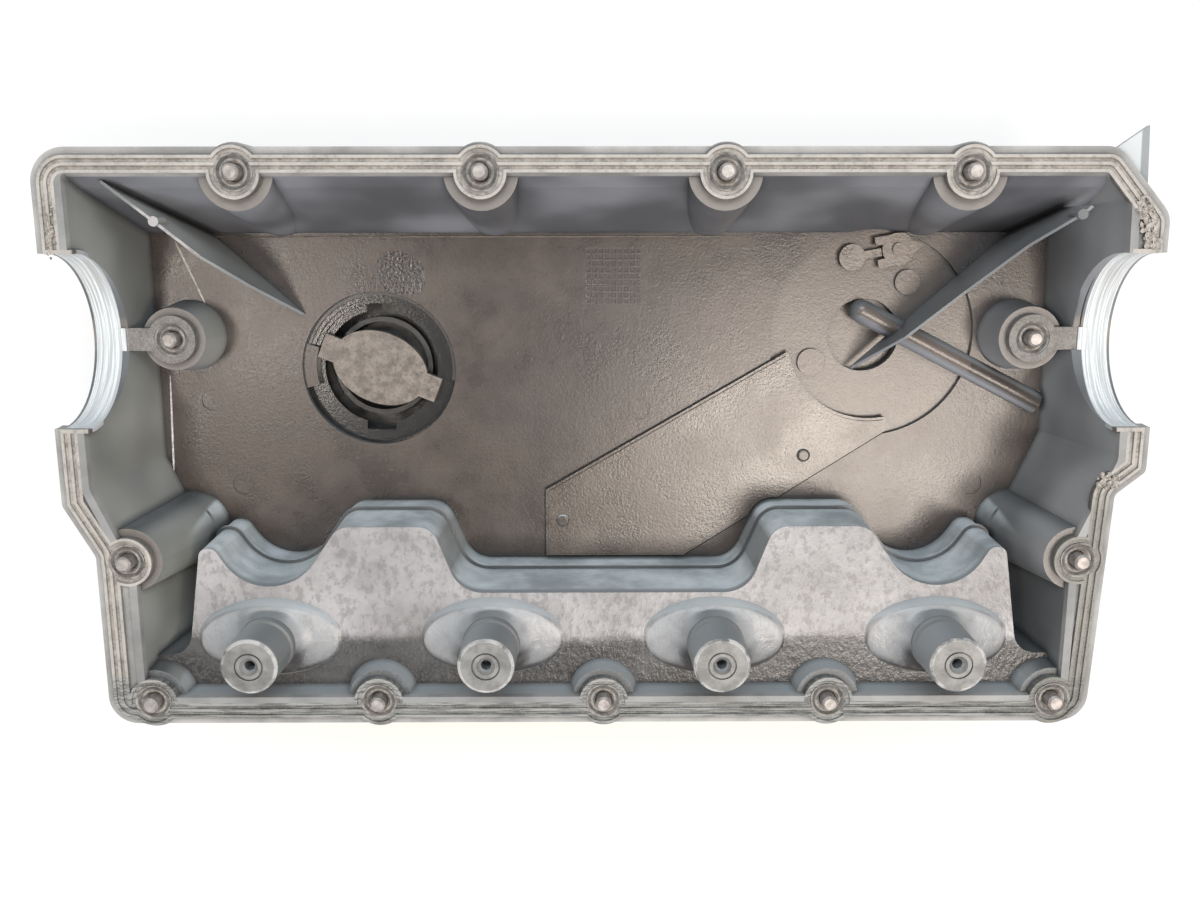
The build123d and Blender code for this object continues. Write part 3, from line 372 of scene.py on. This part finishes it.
# ---------------------------------------------------------------- materials
class Shell(Nodes):
    """The black moulding: each kind of place on it has a mask, and the masks choose the look."""

    def __init__(self):
        super().__init__("shell_plastic")
        self.x, self.y, self.z = (self.axis(self.coords, i) for i in range(3))
        self.across, self.along, self.up = (self.axis(self.normal, i) for i in range(3))
        self.patch = self.noise(0.055, 2, 0.5)
        self.cloud = self.noise(0.024, 4, 0.6, offset=6)
        self.mottle = self.noise(0.006, 3, 0.6, offset=3)
        self.speck = self.noise(0.0011, 2, 0.7, offset=9)
        self.grain = self.noise(0.00035, 1, 0.6)
        self.leather = self.noise(0.0030, 3, 0.7, stretch=(1.0, 0.7, 1), offset=12)
        self.mark_floor()
        self.mark_ledge()
        self.mark_seats()

    def mark_floor(self):
        self.level = self.above(self.up, LEVEL)
        self.low = self.below(self.z, FLOOR_TOP)
        self.on_disc = self.near(DISC_CENTRE, DISC_RADIUS, 0.01)
        self.sunken = self.below(self.z, SUNKEN_TOP)
        self.deep = self.mul(self.sunken, self.flip(self.on_disc))
        self.floor = self.mul(self.level, self.low, self.flip(self.deep))
        edge = self.shift(STAMP_RADIUS, self.sway(self.cloud, 0.014))
        away = self.length(self.math("SUBTRACT", self.x, STAMP_CENTRE[0]),
                           self.math("SUBTRACT", self.y, STAMP_CENTRE[1]))
        self.stamp = self.mul(self.math("LESS_THAN", away, edge), self.floor, self.flip(self.sunken))
        waves = (self.ramp(self.math("SINE", self.mul(a, HATCH_TURNS)), 0.1, 0.7)
                 for a in (self.x, self.y))
        self.grid = self.math("MAXIMUM", *waves)
        field = (self.below(self.off(a, c), HATCH_HALF)
                 for a, c in zip((self.x, self.y), HATCH_CENTRE))
        self.hatch = self.mul(*field, self.low, self.ramp(self.cloud, 0.30, 0.55))

    def mark_ledge(self):
        inside = self.mul(self.below(self.y, LEDGE_BACK), self.below(self.absolute(self.x), LEDGE_END))
        self.ledge = self.mul(self.level, self.between(self.z, *LEDGE_Z))
        self.bench = self.mul(inside, self.above(self.z, BENCH_BOTTOM), self.flip(self.level))
        facing_back = self.above(self.along, FACING)
        self.ledge_side = self.mul(inside, facing_back, self.below(self.z, LEDGE_SIDE_TOP))
        # A painted shadow line along the step in the ledge walls.
        self.step_line = self.below(self.off(self.z, STEP_LINE_Z), STEP_LINE_HALF)
        wavy = self.shift(self.y, self.sway(self.cloud, 0.012))
        self.front = self.below(wavy, LEDGE_FRONT)
        # Distance along X from the nearest of the four posts, half a pitch and
        # one and a half pitches out on either side.
        from_post = self.math("SUBTRACT", self.off(self.absolute(self.x), POST_PITCH), POST_PITCH / 2)
        past_post = self.math("SUBTRACT", self.y, POST_Y)
        oval = self.shift(self.square(self.math("DIVIDE", from_post, FOOT_HALF_LENGTH)),
                          self.square(self.math("DIVIDE", past_post, FOOT_HALF_WIDTH)))
        self.foot = self.mul(self.below(oval, FOOT_EDGE), self.between(self.z, *FOOT_Z))
        self.post = self.above(self.z, POST_TOP)
        self.post_rim = self.above(self.length(from_post, past_post), POST_RIM)

    def mark_seats(self):
        flat = self.above(self.up, DEAD_LEVEL)
        inner = self.mul(flat, self.between(self.z, *INNER_SEAT_Z), self.above(self.y, INNER_SEAT_Y))
        self.shelf = self.add(self.mul(flat, self.between(self.z, *SHELF_Z)), inner)
        self.rim = self.between(self.z, *RIM_Z)
        self.tab = self.mul(self.level, self.between(self.z, *TAB_Z),
                            self.above(self.x, TAB_X), self.above(self.y, TAB_Y))

    def wall_tone(self):
        tone = self.shade(self.patch, WALL)
        # Painted light: each wall is made paler or darker by the way it faces.
        facing_front = self.below(self.along, FACING_AWAY)
        tone = self.mix(self.mul(facing_front, 0.85), tone,
                        self.shade(self.patch, BACK_WALL_LIGHT, 0.35, 0.65))
        left = self.mul(self.above(self.across, FACING), self.below(self.x, (-0.16, -0.12)))
        tone = self.mix(left, tone, self.shade(self.patch, LEFT_WALL_LIGHT))
        right = self.mul(self.below(self.across, FACING_AWAY), self.above(self.x, (0.13, 0.16)))
        tone = self.mix(right, tone, self.shade(self.patch, RIGHT_WALL_LIGHT))
        # Painted light: the ledge walls facing the back get a pale bluish sheen.
        tone = self.mix(self.ledge_side, tone, self.shade(self.cloud, LEDGE_SIDE_SHEEN))
        # Painted shadow: the dark line along that step.
        return self.mix(self.mul(self.ledge_side, self.step_line), tone, STEP_LINE_SHADOW)

    def floor_tone(self):
        tone = self.shade(self.cloud, FLOOR, 0.25, 0.75)
        tone = self.mix(self.mul(self.ramp(self.speck, 0.5, 0.72), 0.5), tone, FLOOR_SPECK)
        # Darker blotches on the floor, from x -0.075 to 0.055.
        middle_band = self.between(self.x, (-0.075, -0.03), (0.02, 0.055))
        blotches = self.mul(middle_band, self.ramp(self.patch, 0.35, 0.65), 0.55)
        tone = self.mix(blotches, tone, FLOOR_BLOTCH)
        return self.mix(self.mul(self.on_disc, 0.6), tone, self.mix(self.mottle, *DISC))

    def ledge_tone(self):
        tone = self.shade(self.cloud, LEDGE)
        tone = self.mix(self.mul(self.ramp(self.leather, 0.48, 0.62), 0.45), tone, LEDGE_CRACK)
        # The ledge goes much darker at the front, past the fold line.
        tone = self.mix(self.mul(self.front, 0.80), tone, LEDGE_FRONT_DARK)
        soot = self.mul(self.ramp(self.cloud, 0.35, 0.6), self.ramp(self.speck, 0.3, 0.6))
        return self.mix(self.mul(self.front, soot, 0.8), tone, LEDGE_SOOT)

    def foot_tone(self):
        # Painted light and shade: the foot is pale where it faces the back and dark where it faces the
        # front, and its upright sides change with the way they face.
        tone = self.shade(self.along, FOOT_LIGHT, -0.35, 0.12)
        tone = self.mix(self.ramp(self.along, 0.55, 0.85), tone, FOOT_BACK_LIGHT)
        tone = self.mix(self.mul(self.ramp(self.mottle, 0.45, 0.7), 0.4), tone, FOOT_DUST)
        upright = self.below(self.up, SLOPED)
        return self.mix(upright, tone, self.shade(self.across, FOOT_SIDE_LIGHT, -0.6, 0.7))

    def shelf_tone(self):
        tone = self.mix(self.mottle, *SHELF)
        # Painted shade: the front shelves go dark, with pale bluish specks as painted glints.
        return self.mix(self.below(self.y, FRONT_SHELF_Y), tone, self.mix(self.speck, *FRONT_SHELF_SHADE))

    def post_tone(self):
        tone = self.shade(self.mottle, POST)
        # A paler ring round the edge of the post end, broken up by mottle.
        pale_ring = self.mul(self.post_rim, self.ramp(self.mottle, 0.35, 0.6))
        return self.mix(pale_ring, tone, POST_EDGE)

    def tab_tone(self):
        strip = self.above(self.shift(self.x, self.mul(self.y, 0.04)), TAB_STRIP)
        return self.mix(strip, *TAB)

    def tone(self):
        tone = self.mix(self.floor, self.wall_tone(), self.floor_tone())
        # Painted shade: sunken places off the disc go near black.
        tone = self.mix(self.deep, tone, RECESS_SHADE)
        # Painted light: the ledge's sloping faces get a paler bluish tone.
        tone = self.mix(self.bench, tone, self.mix(self.cloud, *BENCH_LIGHT))
        tone = self.mix(self.ledge, tone, self.ledge_tone())
        tone = self.mix(self.foot, tone, self.foot_tone())
        tone = self.mix(self.shelf, tone, self.shelf_tone())
        tone = self.mix(self.rim, tone, self.shade(self.cloud, RIM))
        tone = self.mix(self.post, tone, self.post_tone())
        tone = self.mix(self.tab, tone, self.tab_tone())
        # Painted shade: narrow inner corners, found by ambient occlusion, go near black.
        tone = self.mix(self.mul(self.crease(0.0035), 0.85), tone, CREASE_SHADE)
        tone = self.mix(self.mul(self.stamp, self.ramp(self.speck, 0.35, 0.6)), tone, STAMP_DARK)
        return self.mix(self.mul(self.hatch, self.flip(self.grid), 0.55), tone, HATCH_DARK)

    def gloss(self):
        rough = self.blend(self.floor, 0.40, self.blend(self.ramp(self.cloud, 0.2, 0.8), 0.24, 0.34))
        rough = self.blend(self.mul(self.floor, self.on_disc), rough, 0.30)
        rough = self.blend(self.deep, rough, 0.16)
        rough = self.blend(self.rim, rough, 0.6)
        return self.blend(self.mul(self.ledge, self.front), rough, 0.30)

    def skin(self):
        skin = self.bump(self.grain, 0.00004, 0.6)
        skin = self.bump(self.speck, 0.00012, 0.5, skin)
        leathery = self.add(self.mul(self.ledge, 0.6), self.mul(self.floor, 0.10))
        skin = self.bump(self.leather, 0.0006, leathery, skin)
        etching = self.noise(0.0014, 1, 0.6, offset=2)
        skin = self.bump(etching, 0.0009, self.mul(self.stamp, 0.8), skin)
        return self.bump(self.grid, 0.00025, self.mul(self.hatch, 0.7), skin)


def shell_plastic():
    shell = Shell()
    return shell.finish(shell.tone(), shell.gloss(), shell.skin(), specular=0.75)


# Heights and places on the gasket, as soft steps in metres.
BAND_X = (0.1890, 0.1905)
BAND_Z = (-0.0042, -0.0032)
RIDGE_Z = (-0.0006, -0.0002)
GROOVE_Z = (-0.0012, -0.0008)
FRONT_Y = (-0.094, -0.088)
SHADED_X = (0.16, 0.17)
SHADED_Y = (-0.03, -0.01)

GASKET = ((0.25, 0.23, 0.207), (0.45, 0.42, 0.382))
GASKET_FRONT = ((0.045, 0.052, 0.052), (0.26, 0.27, 0.262))
GASKET_BAND = ((0.50, 0.53, 0.54), (0.86, 0.90, 0.92))
GASKET_DIRT = (0.13, 0.117, 0.102)
# Painted highlight along the tops of the gasket ridges.
GASKET_RIDGE_HIGHLIGHT = (0.56, 0.53, 0.49)
# Painted shade for the grooves and lower faces of the gasket.
GASKET_GROOVE_SHADE = (0.10, 0.092, 0.083)
GASKET_SHADED = (0.13, 0.13, 0.11)
GASKET_DUST = (0.55, 0.52, 0.49)


def gasket():
    """Dusty rubber, darker and streaked along the front, and pale and streaked in the two arches."""
    n = Nodes("gasket_rubber")
    x, y, z = (n.axis(n.coords, i) for i in range(3))
    dust = n.noise(0.010, 3, 0.65)
    streak = n.noise(0.012, 2, 0.6, stretch=(1, 16, 1), offset=2)
    grain = n.noise(0.0005, 1, 0.6)
    stripes = n.noise(0.035, 3, 0.6, stretch=(70, 1, 1), offset=4)
    fine = n.noise(0.0022, 2, 0.65, offset=7)
    band = n.mul(n.above(n.absolute(x), BAND_X), n.below(z, BAND_Z))
    groove = n.mul(n.below(z, GROOVE_Z), n.flip(band))
    front = n.below(y, FRONT_Y)
    shaded = n.mul(n.above(x, SHADED_X), n.below(y, SHADED_Y))
    tone = n.shade(dust, GASKET)
    tone = n.mix(n.mul(n.ramp(fine, 0.45, 0.65), 0.55), tone, GASKET_DIRT)
    # Painted highlight: the ridge tops go paler, broken up by fine noise.
    tone = n.mix(n.mul(n.above(z, RIDGE_Z), n.ramp(fine, 0.3, 0.6), 0.5), tone, GASKET_RIDGE_HIGHLIGHT)
    # Painted shade: the gasket's grooves and lower faces go darker.
    tone = n.mix(n.mul(groove, 0.62), tone, GASKET_GROOVE_SHADE)
    tone = n.mix(n.mul(front, 0.8), tone, n.shade(streak, GASKET_FRONT, 0.38, 0.62))
    tone = n.mix(n.mul(shaded, 0.6), tone, GASKET_SHADED)
    tone = n.mix(band, tone, n.shade(stripes, GASKET_BAND, 0.38, 0.62))
    tone = n.mix(n.mul(n.ramp(grain, 0.45, 0.7), 0.25), tone, GASKET_DUST)
    skin = n.bump(grain, 0.0001, 0.6)
    skin = n.bump(fine, 0.0004, 0.7, skin)
    skin = n.bump(stripes, 0.0006, n.mul(band, 0.7), skin)
    skin = n.bump(streak, 0.0004, n.mul(front, 0.5), skin)
    return n.finish(tone, n.blend(dust, 0.45, 0.75), skin, specular=0.45)


def rubber(name, dark, pale, size):
    n = Nodes(name)
    dust = n.noise(size, 5, 0.65)
    grain = n.noise(0.0005, 3, 0.6)
    tone = n.shade(dust, (dark, pale), 0.35, 0.65)
    tone = n.mix(n.mul(n.ramp(grain, 0.45, 0.7), 0.35), tone, pale)
    return n.finish(tone, n.blend(dust, 0.5, 0.85), n.bump(grain, 0.00012, 0.7), specular=0.4)


def metal(name, dark, pale):
    n = Nodes(name)
    blotches = n.noise(0.003, 4, 0.6)
    scratch = n.noise(0.0008, 3, 0.6, stretch=(1, 1, 5))
    rough = n.blend(scratch, 0.32, 0.6)
    return n.finish(n.shade(blotches, (dark, pale)), rough, n.bump(scratch, 0.00005, 0.5), metallic=0.55)


UNDERSIDE_SHADE = (0.012, 0.011, 0.010)


def plastic(name, dark, pale, size, rough=(0.26, 0.42), top=None, step=0.0003):
    """With top, whatever lies more than a step under that height is painted near black as shade."""
    n = Nodes(name)
    patch = n.noise(size, 3, 0.6)
    speck = n.noise(0.0011, 2, 0.7, offset=5)
    tone = n.shade(patch, (dark, pale))
    tone = n.mix(n.mul(n.ramp(speck, 0.5, 0.72), 0.55), tone, tuple(c * 0.25 for c in dark))
    if top is not None:
        # Painted shade: everything below the top face goes near black.
        under = n.below(n.axis(n.coords, 2), (top - step - 0.0001, top - step))
        tone = n.mix(under, tone, UNDERSIDE_SHADE)
    skin = n.bump(speck, 0.0002, 0.5)
    skin = n.bump(patch, 0.0004, 0.3, skin)
    return n.finish(tone, n.blend(n.ramp(patch, 0.3, 0.7), *rough), skin, specular=0.85)


def top_of(node):
    return max(corner[2] for corner in nodes[node].bound_box)


# How far the two stakes of the channel cover stand above its plate.
STAKE_HEIGHT = 0.0012

black_moulding = shell_plastic()
gasket_rubber = gasket()
bush_rubber = rubber("bush_rubber", (0.05, 0.048, 0.045), (0.16, 0.15, 0.14), 0.004)
dusty_lip = rubber("dusty_lip", (0.14, 0.128, 0.115), (0.38, 0.35, 0.32), 0.003)
residue = rubber("residue", (0.20, 0.18, 0.16), (0.48, 0.44, 0.395), 0.002)
screw_steel = metal("screw_steel", (0.26, 0.235, 0.22), (0.50, 0.465, 0.44))
sleeve_steel = metal("sleeve_steel", (0.22, 0.195, 0.175), (0.36, 0.325, 0.295))
plate_plastic = plastic("plate_plastic", (0.070, 0.054, 0.043), (0.12, 0.096, 0.078), 0.02,
                        rough=(0.24, 0.34), top=top_of("channel_cover") - STAKE_HEIGHT)
cap_plastic = plastic("cap_plastic", (0.10, 0.080, 0.066), (0.25, 0.21, 0.175), 0.004,
                      rough=(0.32, 0.55), top=top_of("oil_filler_cap"), step=0.0042)
leaf_plastic = plastic("leaf_plastic", (0.12, 0.095, 0.078), (0.20, 0.165, 0.138), 0.006)
# Painted highlight material for thin edge lines.
edge_highlight = plastic("edge_highlight", (0.42, 0.40, 0.38), (0.80, 0.78, 0.76), 0.003)
dark_plastic = plastic("dark_plastic", (0.035, 0.034, 0.033), (0.085, 0.08, 0.076), 0.008)

# The first of these that a node's name starts with chooses its material.
LOOKS = {
    "captive_screw": screw_steel,
    "valve_spring": screw_steel,
    "screw_sleeve": sleeve_steel,
    "screw_bush": bush_rubber,
    "cap_seal": bush_rubber,
    "diaphragm_plate": dark_plastic,
    "diaphragm": bush_rubber,
    "rim_gasket": gasket_rubber,
    "channel_cover": plate_plastic,
    "oil_filler_cap": cap_plastic,
    "reed_valve": leaf_plastic,
    "cover_shell": black_moulding,
}


def look_of(node):
    for start, mat in LOOKS.items():
        if node.startswith(start):
            return mat
    return dark_plastic


for node in nodes:
    paint(node, look_of(node))


# ---------------------------------------------------------------- added pieces
def link(name, data):
    piece = bpy.data.objects.new(name, data)
    bpy.context.scene.collection.objects.link(piece)
    return piece


def add_piece(name, mesh, mat):
    """A piece that stays with the cover."""
    piece = link(name, mesh)
    mesh.materials.append(mat)
    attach(piece, "cover")


def ring_faces(base, rings, points):
    """Faces between neighbouring rings of a closed round of them."""
    for i in range(rings):
        here, there = base + i * points, base + (i + 1) % rings * points
        for k in range(points - 1):
            yield here + k, there + k, there + k + 1, here + k + 1


def turned(name, profile, places, mat, wobble, steps=56):
    """A profile of (radius, height) turned about upright lines at the given places."""
    mesh = bpy.data.meshes.new(name)
    verts = []
    faces = []
    for px, py, pz in places:
        base = len(verts)
        lean = [random.uniform(0, math.tau) for _ in range(3)]
        for i in range(steps):
            a = math.tau * i / steps
            w = sum(math.sin(a * k + lean[k - 2]) for k in (2, 3, 4)) / 3
            for r, h in profile:
                grown = r * (1 + wobble * w)
                jig = random.uniform(-1, 1) * wobble * 0.0012
                verts.append((px + grown * math.cos(a), py + grown * math.sin(a), pz + h + jig))
        faces += ring_faces(base, steps, len(profile))
    mesh.from_pydata(verts, [], faces)
    mesh.shade_smooth()
    add_piece(name, mesh, mat)


RIDGE_SPACING = 0.0012
# The section of a raised line: shares of its half width and of its height.
RIDGE_SECTION = ((-1, -0.3), (-0.45, 0.85), (0.45, 0.85), (1, -0.3))


def evenly(run):
    """The run's points with more of them between, about a spacing apart."""
    fine = []
    for a, b in zip(run, run[1:]):
        a, b = Vector(a), Vector(b)
        parts = max(2, int((b - a).length / RIDGE_SPACING))
        fine += [a.lerp(b, i / parts) for i in range(parts)]
    fine.append(Vector(run[-1]))
    return fine


def ridge(name, runs, width, height, mat):
    """Thin raised lines: each run is a list of points on the surface they stand on."""
    mesh = bpy.data.meshes.new(name)
    verts = []
    faces = []
    for run in runs:
        fine = evenly(run)
        end = len(fine) - 1
        base = len(verts)
        for i, p in enumerate(fine):
            along = (fine[min(i + 1, end)] - fine[max(i - 1, 0)]).normalized()
            side = along.cross(Vector((0, 0, 1))).normalized()
            taper = min(1.0, 0.25 + 6 * min(i, end - i) / len(fine))
            w = width * 0.5 * taper * random.uniform(0.8, 1.15)
            h = height * taper * random.uniform(0.75, 1.1)
            for across, lift in RIDGE_SECTION:
                verts.append(p + side * across * w + Vector((0, 0, lift * h)))
        for i in range(end):
            for k in range(3):
                q = base + i * 4 + k
                faces.append((q, q + 4, q + 5, q + 1))
        last = base + end * 4
        faces.append((base, base + 1, base + 2, base + 3))
        faces.append((last + 3, last + 2, last + 1, last))
    mesh.from_pydata([tuple(v) for v in verts], [], faces)
    mesh.shade_smooth()
    add_piece(name, mesh, mat)


CRUMB_Z = 0.0001


def crumbs(name, spots, seed):
    """Loose lumps: (x, y, spread x, spread y, how many, size) in metres, on the gasket."""
    pick = random.Random(seed)
    made = bmesh.new()
    for x, y, sx, sy, count, size in spots:
        for _ in range(count):
            r = size * pick.uniform(0.35, 1.0)
            place = Vector((x + pick.uniform(-sx, sx), y + pick.uniform(-sy, sy), CRUMB_Z - r * 0.1))
            angle = pick.uniform(0, 6.28)
            axis = Vector((pick.uniform(-1, 1), pick.uniform(-1, 1), 1))
            shape = (r * pick.uniform(0.7, 1.6), r * pick.uniform(0.6, 1.1), r * 0.45, 1)
            turn = Matrix.Rotation(angle, 4, axis) @ Matrix.Diagonal(shape)
            lump = bmesh.ops.create_icosphere(made, subdivisions=2, radius=1.0,
                                              matrix=Matrix.Translation(place) @ turn)
            for v in lump["verts"]:
                v.co += Vector([pick.uniform(-1, 1) * r * 0.16 for _ in range(3)])
    mesh = bpy.data.meshes.new(name)
    made.to_mesh(mesh)
    made.free()
    add_piece(name, mesh, residue)


# Where the captive screws come through: X, Y and the height of the face around them.
BACK_ROW_X = (-0.132, -0.044, 0.044, 0.132)
FRONT_ROW_X = (-0.176, -0.088, 0.0, 0.088, 0.176)
ROW_Y = 0.1005
SCREW_SEATS = (
    [(x, ROW_Y, 0.0) for x in BACK_ROW_X]
    + [(x, -ROW_Y, 0.0) for x in FRONT_ROW_X]
    + [(-0.1817, -0.0437, 0.0), (0.1817, -0.0437, 0.0)]
    + [(-0.1716, 0.038, -0.0345), (0.1716, 0.038, -0.0345)]
)
FUNNEL = [(0.0069, -0.0004), (0.0064, -0.0005), (0.0060, -0.0012), (0.0053, -0.0014),
          (0.0047, -0.0009), (0.0042, -0.0011), (0.0038, -0.0018), (0.0033, -0.0024)]
turned("dust_in_screw_wells", FUNNEL, SCREW_SEATS, dusty_lip, 0.03)

FLOOR_Z = -0.0569
# Painted highlights: thin pale raised lines along the floor's left corner and its back edge.
ridge("highlight_left_corner",
      [[(-0.1821, 0.021, FLOOR_Z), (-0.1837, -0.022, FLOOR_Z)],
       [(-0.1760, 0.0770, FLOOR_Z), (-0.1650, 0.0505, FLOOR_Z)]],
      0.0009, 0.0005, edge_highlight)
ridge("highlight_floor_back",
      [[(-0.168, 0.0782, FLOOR_Z), (0.060, 0.0782, FLOOR_Z)]],
      0.0007, 0.0004, leaf_plastic)

crumbs("residue_right_corner",
       [(0.1935 + 0.0075 * t, 0.0905 - 0.0235 * t, 0.0026, 0.003, 26, 0.0012)
        for t in (0.05, 0.25, 0.45, 0.62)]
       + [(0.1905, -0.0125, 0.0045, 0.003, 40, 0.0011)], 3)
crumbs("residue_left_rim",
       [(-0.1985, 0.0865 - 0.022 * t, 0.0022, 0.003, 12, 0.0008) for t in (0.1, 0.35, 0.6)]
       + [(-0.1975, 0.088, 0.0010, 0.001, 3, 0.0007)], 5)


def squeezed_spring():
    """The diaphragm's spring, copied out as a plain mesh and shown in place of its CAD node."""
    mesh = nodes["valve_spring"].data.copy()
    mesh.transform(nodes["valve_spring"].matrix_world)
    mesh.materials.clear()
    mesh.materials.append(screw_steel)
    piece = link("valve_spring_coil", mesh)
    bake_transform(piece)
    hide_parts("valve_spring")


squeezed_spring()
soften("cover_shell", 0.0005)


# ---------------------------------------------------------------- floor and light
FLOOR_REACH = 4
PAPER = ((0.90, 0.89, 0.87), (0.93, 0.92, 0.90))
PAPER_GLOW = (1.0, 1.0, 1.0)
WARM_SHADOW_TINT = (1.0, 0.965, 0.86)
# A painted warm shadow band on the paper under the front edge.
WARM_Y = ((-0.185, -0.130), (-0.128, -0.100))
WARM_X = 0.01
WARM_HALF = (0.10, 0.22)
GLOW_STRENGTH = 1.04
GLOW_SHARE = 0.74
SKY = (0.97, 0.98, 1.0, 1)
SKY_STRENGTH = 0.36


def mixed(tree, share, first, second, output):
    """Two shaders mixed by a share, and led to the output."""
    node = tree.nodes.new("ShaderNodeMixShader")
    tree.links.new(share, node.inputs["Fac"])
    tree.links.new(first.outputs[0], node.inputs[1])
    tree.links.new(second.outputs[0], node.inputs[2])
    tree.links.new(node.outputs[0], tree.nodes[output].inputs["Surface"])


def seen_directly(tree):
    """1 for camera, glossy and transmission rays, 0 for the rays that light the object."""
    path = tree.nodes.new("ShaderNodeLightPath")
    total = path.outputs["Is Camera Ray"]
    for name in ("Is Glossy Ray", "Is Transmission Ray"):
        node = tree.nodes.new("ShaderNodeMath")
        node.operation = "MAXIMUM"
        tree.links.new(total, node.inputs[0])
        tree.links.new(path.outputs[name], node.inputs[1])
        total = node.outputs[0]
    return total


def floor():
    """White paper under the part."""
    mesh = bpy.data.meshes.new("floor")
    corners = ((-1, -1), (1, -1), (1, 1), (-1, 1))
    z = cad_bounds[0][2]
    mesh.from_pydata([(x * FLOOR_REACH, y * FLOOR_REACH, z) for x, y in corners], [], [(0, 1, 2, 3)])
    n = Nodes("white_floor")
    n.finish(n.mix(n.noise(0.02, 3), *PAPER), 0.7, specular=0.2)
    x, y = n.axis(n.coords, 0), n.axis(n.coords, 1)
    # Painted shadow: the warm band under the front edge.
    band = n.mul(n.between(y, *WARM_Y), n.below(n.off(x, WARM_X), WARM_HALF))
    glow = n.tree.nodes.new("ShaderNodeEmission")
    n.put(glow.inputs["Color"], n.mix(band, PAPER_GLOW, WARM_SHADOW_TINT))
    glow.inputs["Strength"].default_value = GLOW_STRENGTH
    share = n.mul(seen_directly(n.tree), GLOW_SHARE)
    mixed(n.tree, share, n.shader, glow, "Material Output")
    mesh.materials.append(n.mat)
    link("floor", mesh)


def lamp(name, place, aim, size, power, color):
    data = bpy.data.lights.new(name, "AREA")
    data.shape = "RECTANGLE"
    data.size, data.size_y = size
    data.energy = power
    data.color = color
    piece = link(name, data)
    piece.location = place
    piece.rotation_euler = (Vector(aim) - Vector(place)).to_track_quat("-Z", "Y").to_euler()


def world():
    """A soft sky that lights the part, and plain white where the camera sees past it."""
    made = bpy.data.worlds.new("world")
    bpy.context.scene.world = made
    made.use_nodes = True
    tree = made.node_tree
    sky = tree.nodes["Background"]
    sky.inputs["Color"].default_value = SKY
    sky.inputs["Strength"].default_value = SKY_STRENGTH
    white = tree.nodes.new("ShaderNodeBackground")
    white.inputs["Strength"].default_value = 1.0
    path = tree.nodes.new("ShaderNodeLightPath")
    mixed(tree, path.outputs["Is Camera Ray"], sky, white, "World Output")


WARM_LAMP = (1.0, 0.89, 0.79)

floor()
lamp("ceiling_right", (0.39, -0.25, 1.2), (0.39, -0.25, 0), (0.56, 0.34), 8.5, WARM_LAMP)
lamp("ceiling_spot", (0.60, -0.28, 1.2), (0.60, -0.28, 0), (0.20, 0.20), 2.6, WARM_LAMP)
lamp("ceiling_left", (-0.56, -0.02, 1.2), (-0.56, -0.02, 0), (0.20, 0.24), 2.6, (1.0, 0.90, 0.80))
lamp("fill", (-0.1, -0.95, 0.75), (0, 0.06, -0.03), (0.8, 0.4), 4.0, (0.86, 0.92, 1.0))
lamp("window", (0.05, 0.68, 1.05), (0, -0.02, 0), (0.9, 0.4), 9.5, (0.82, 0.92, 1.0))
world()
bpy.context.scene.view_settings.view_transform = "Standard"
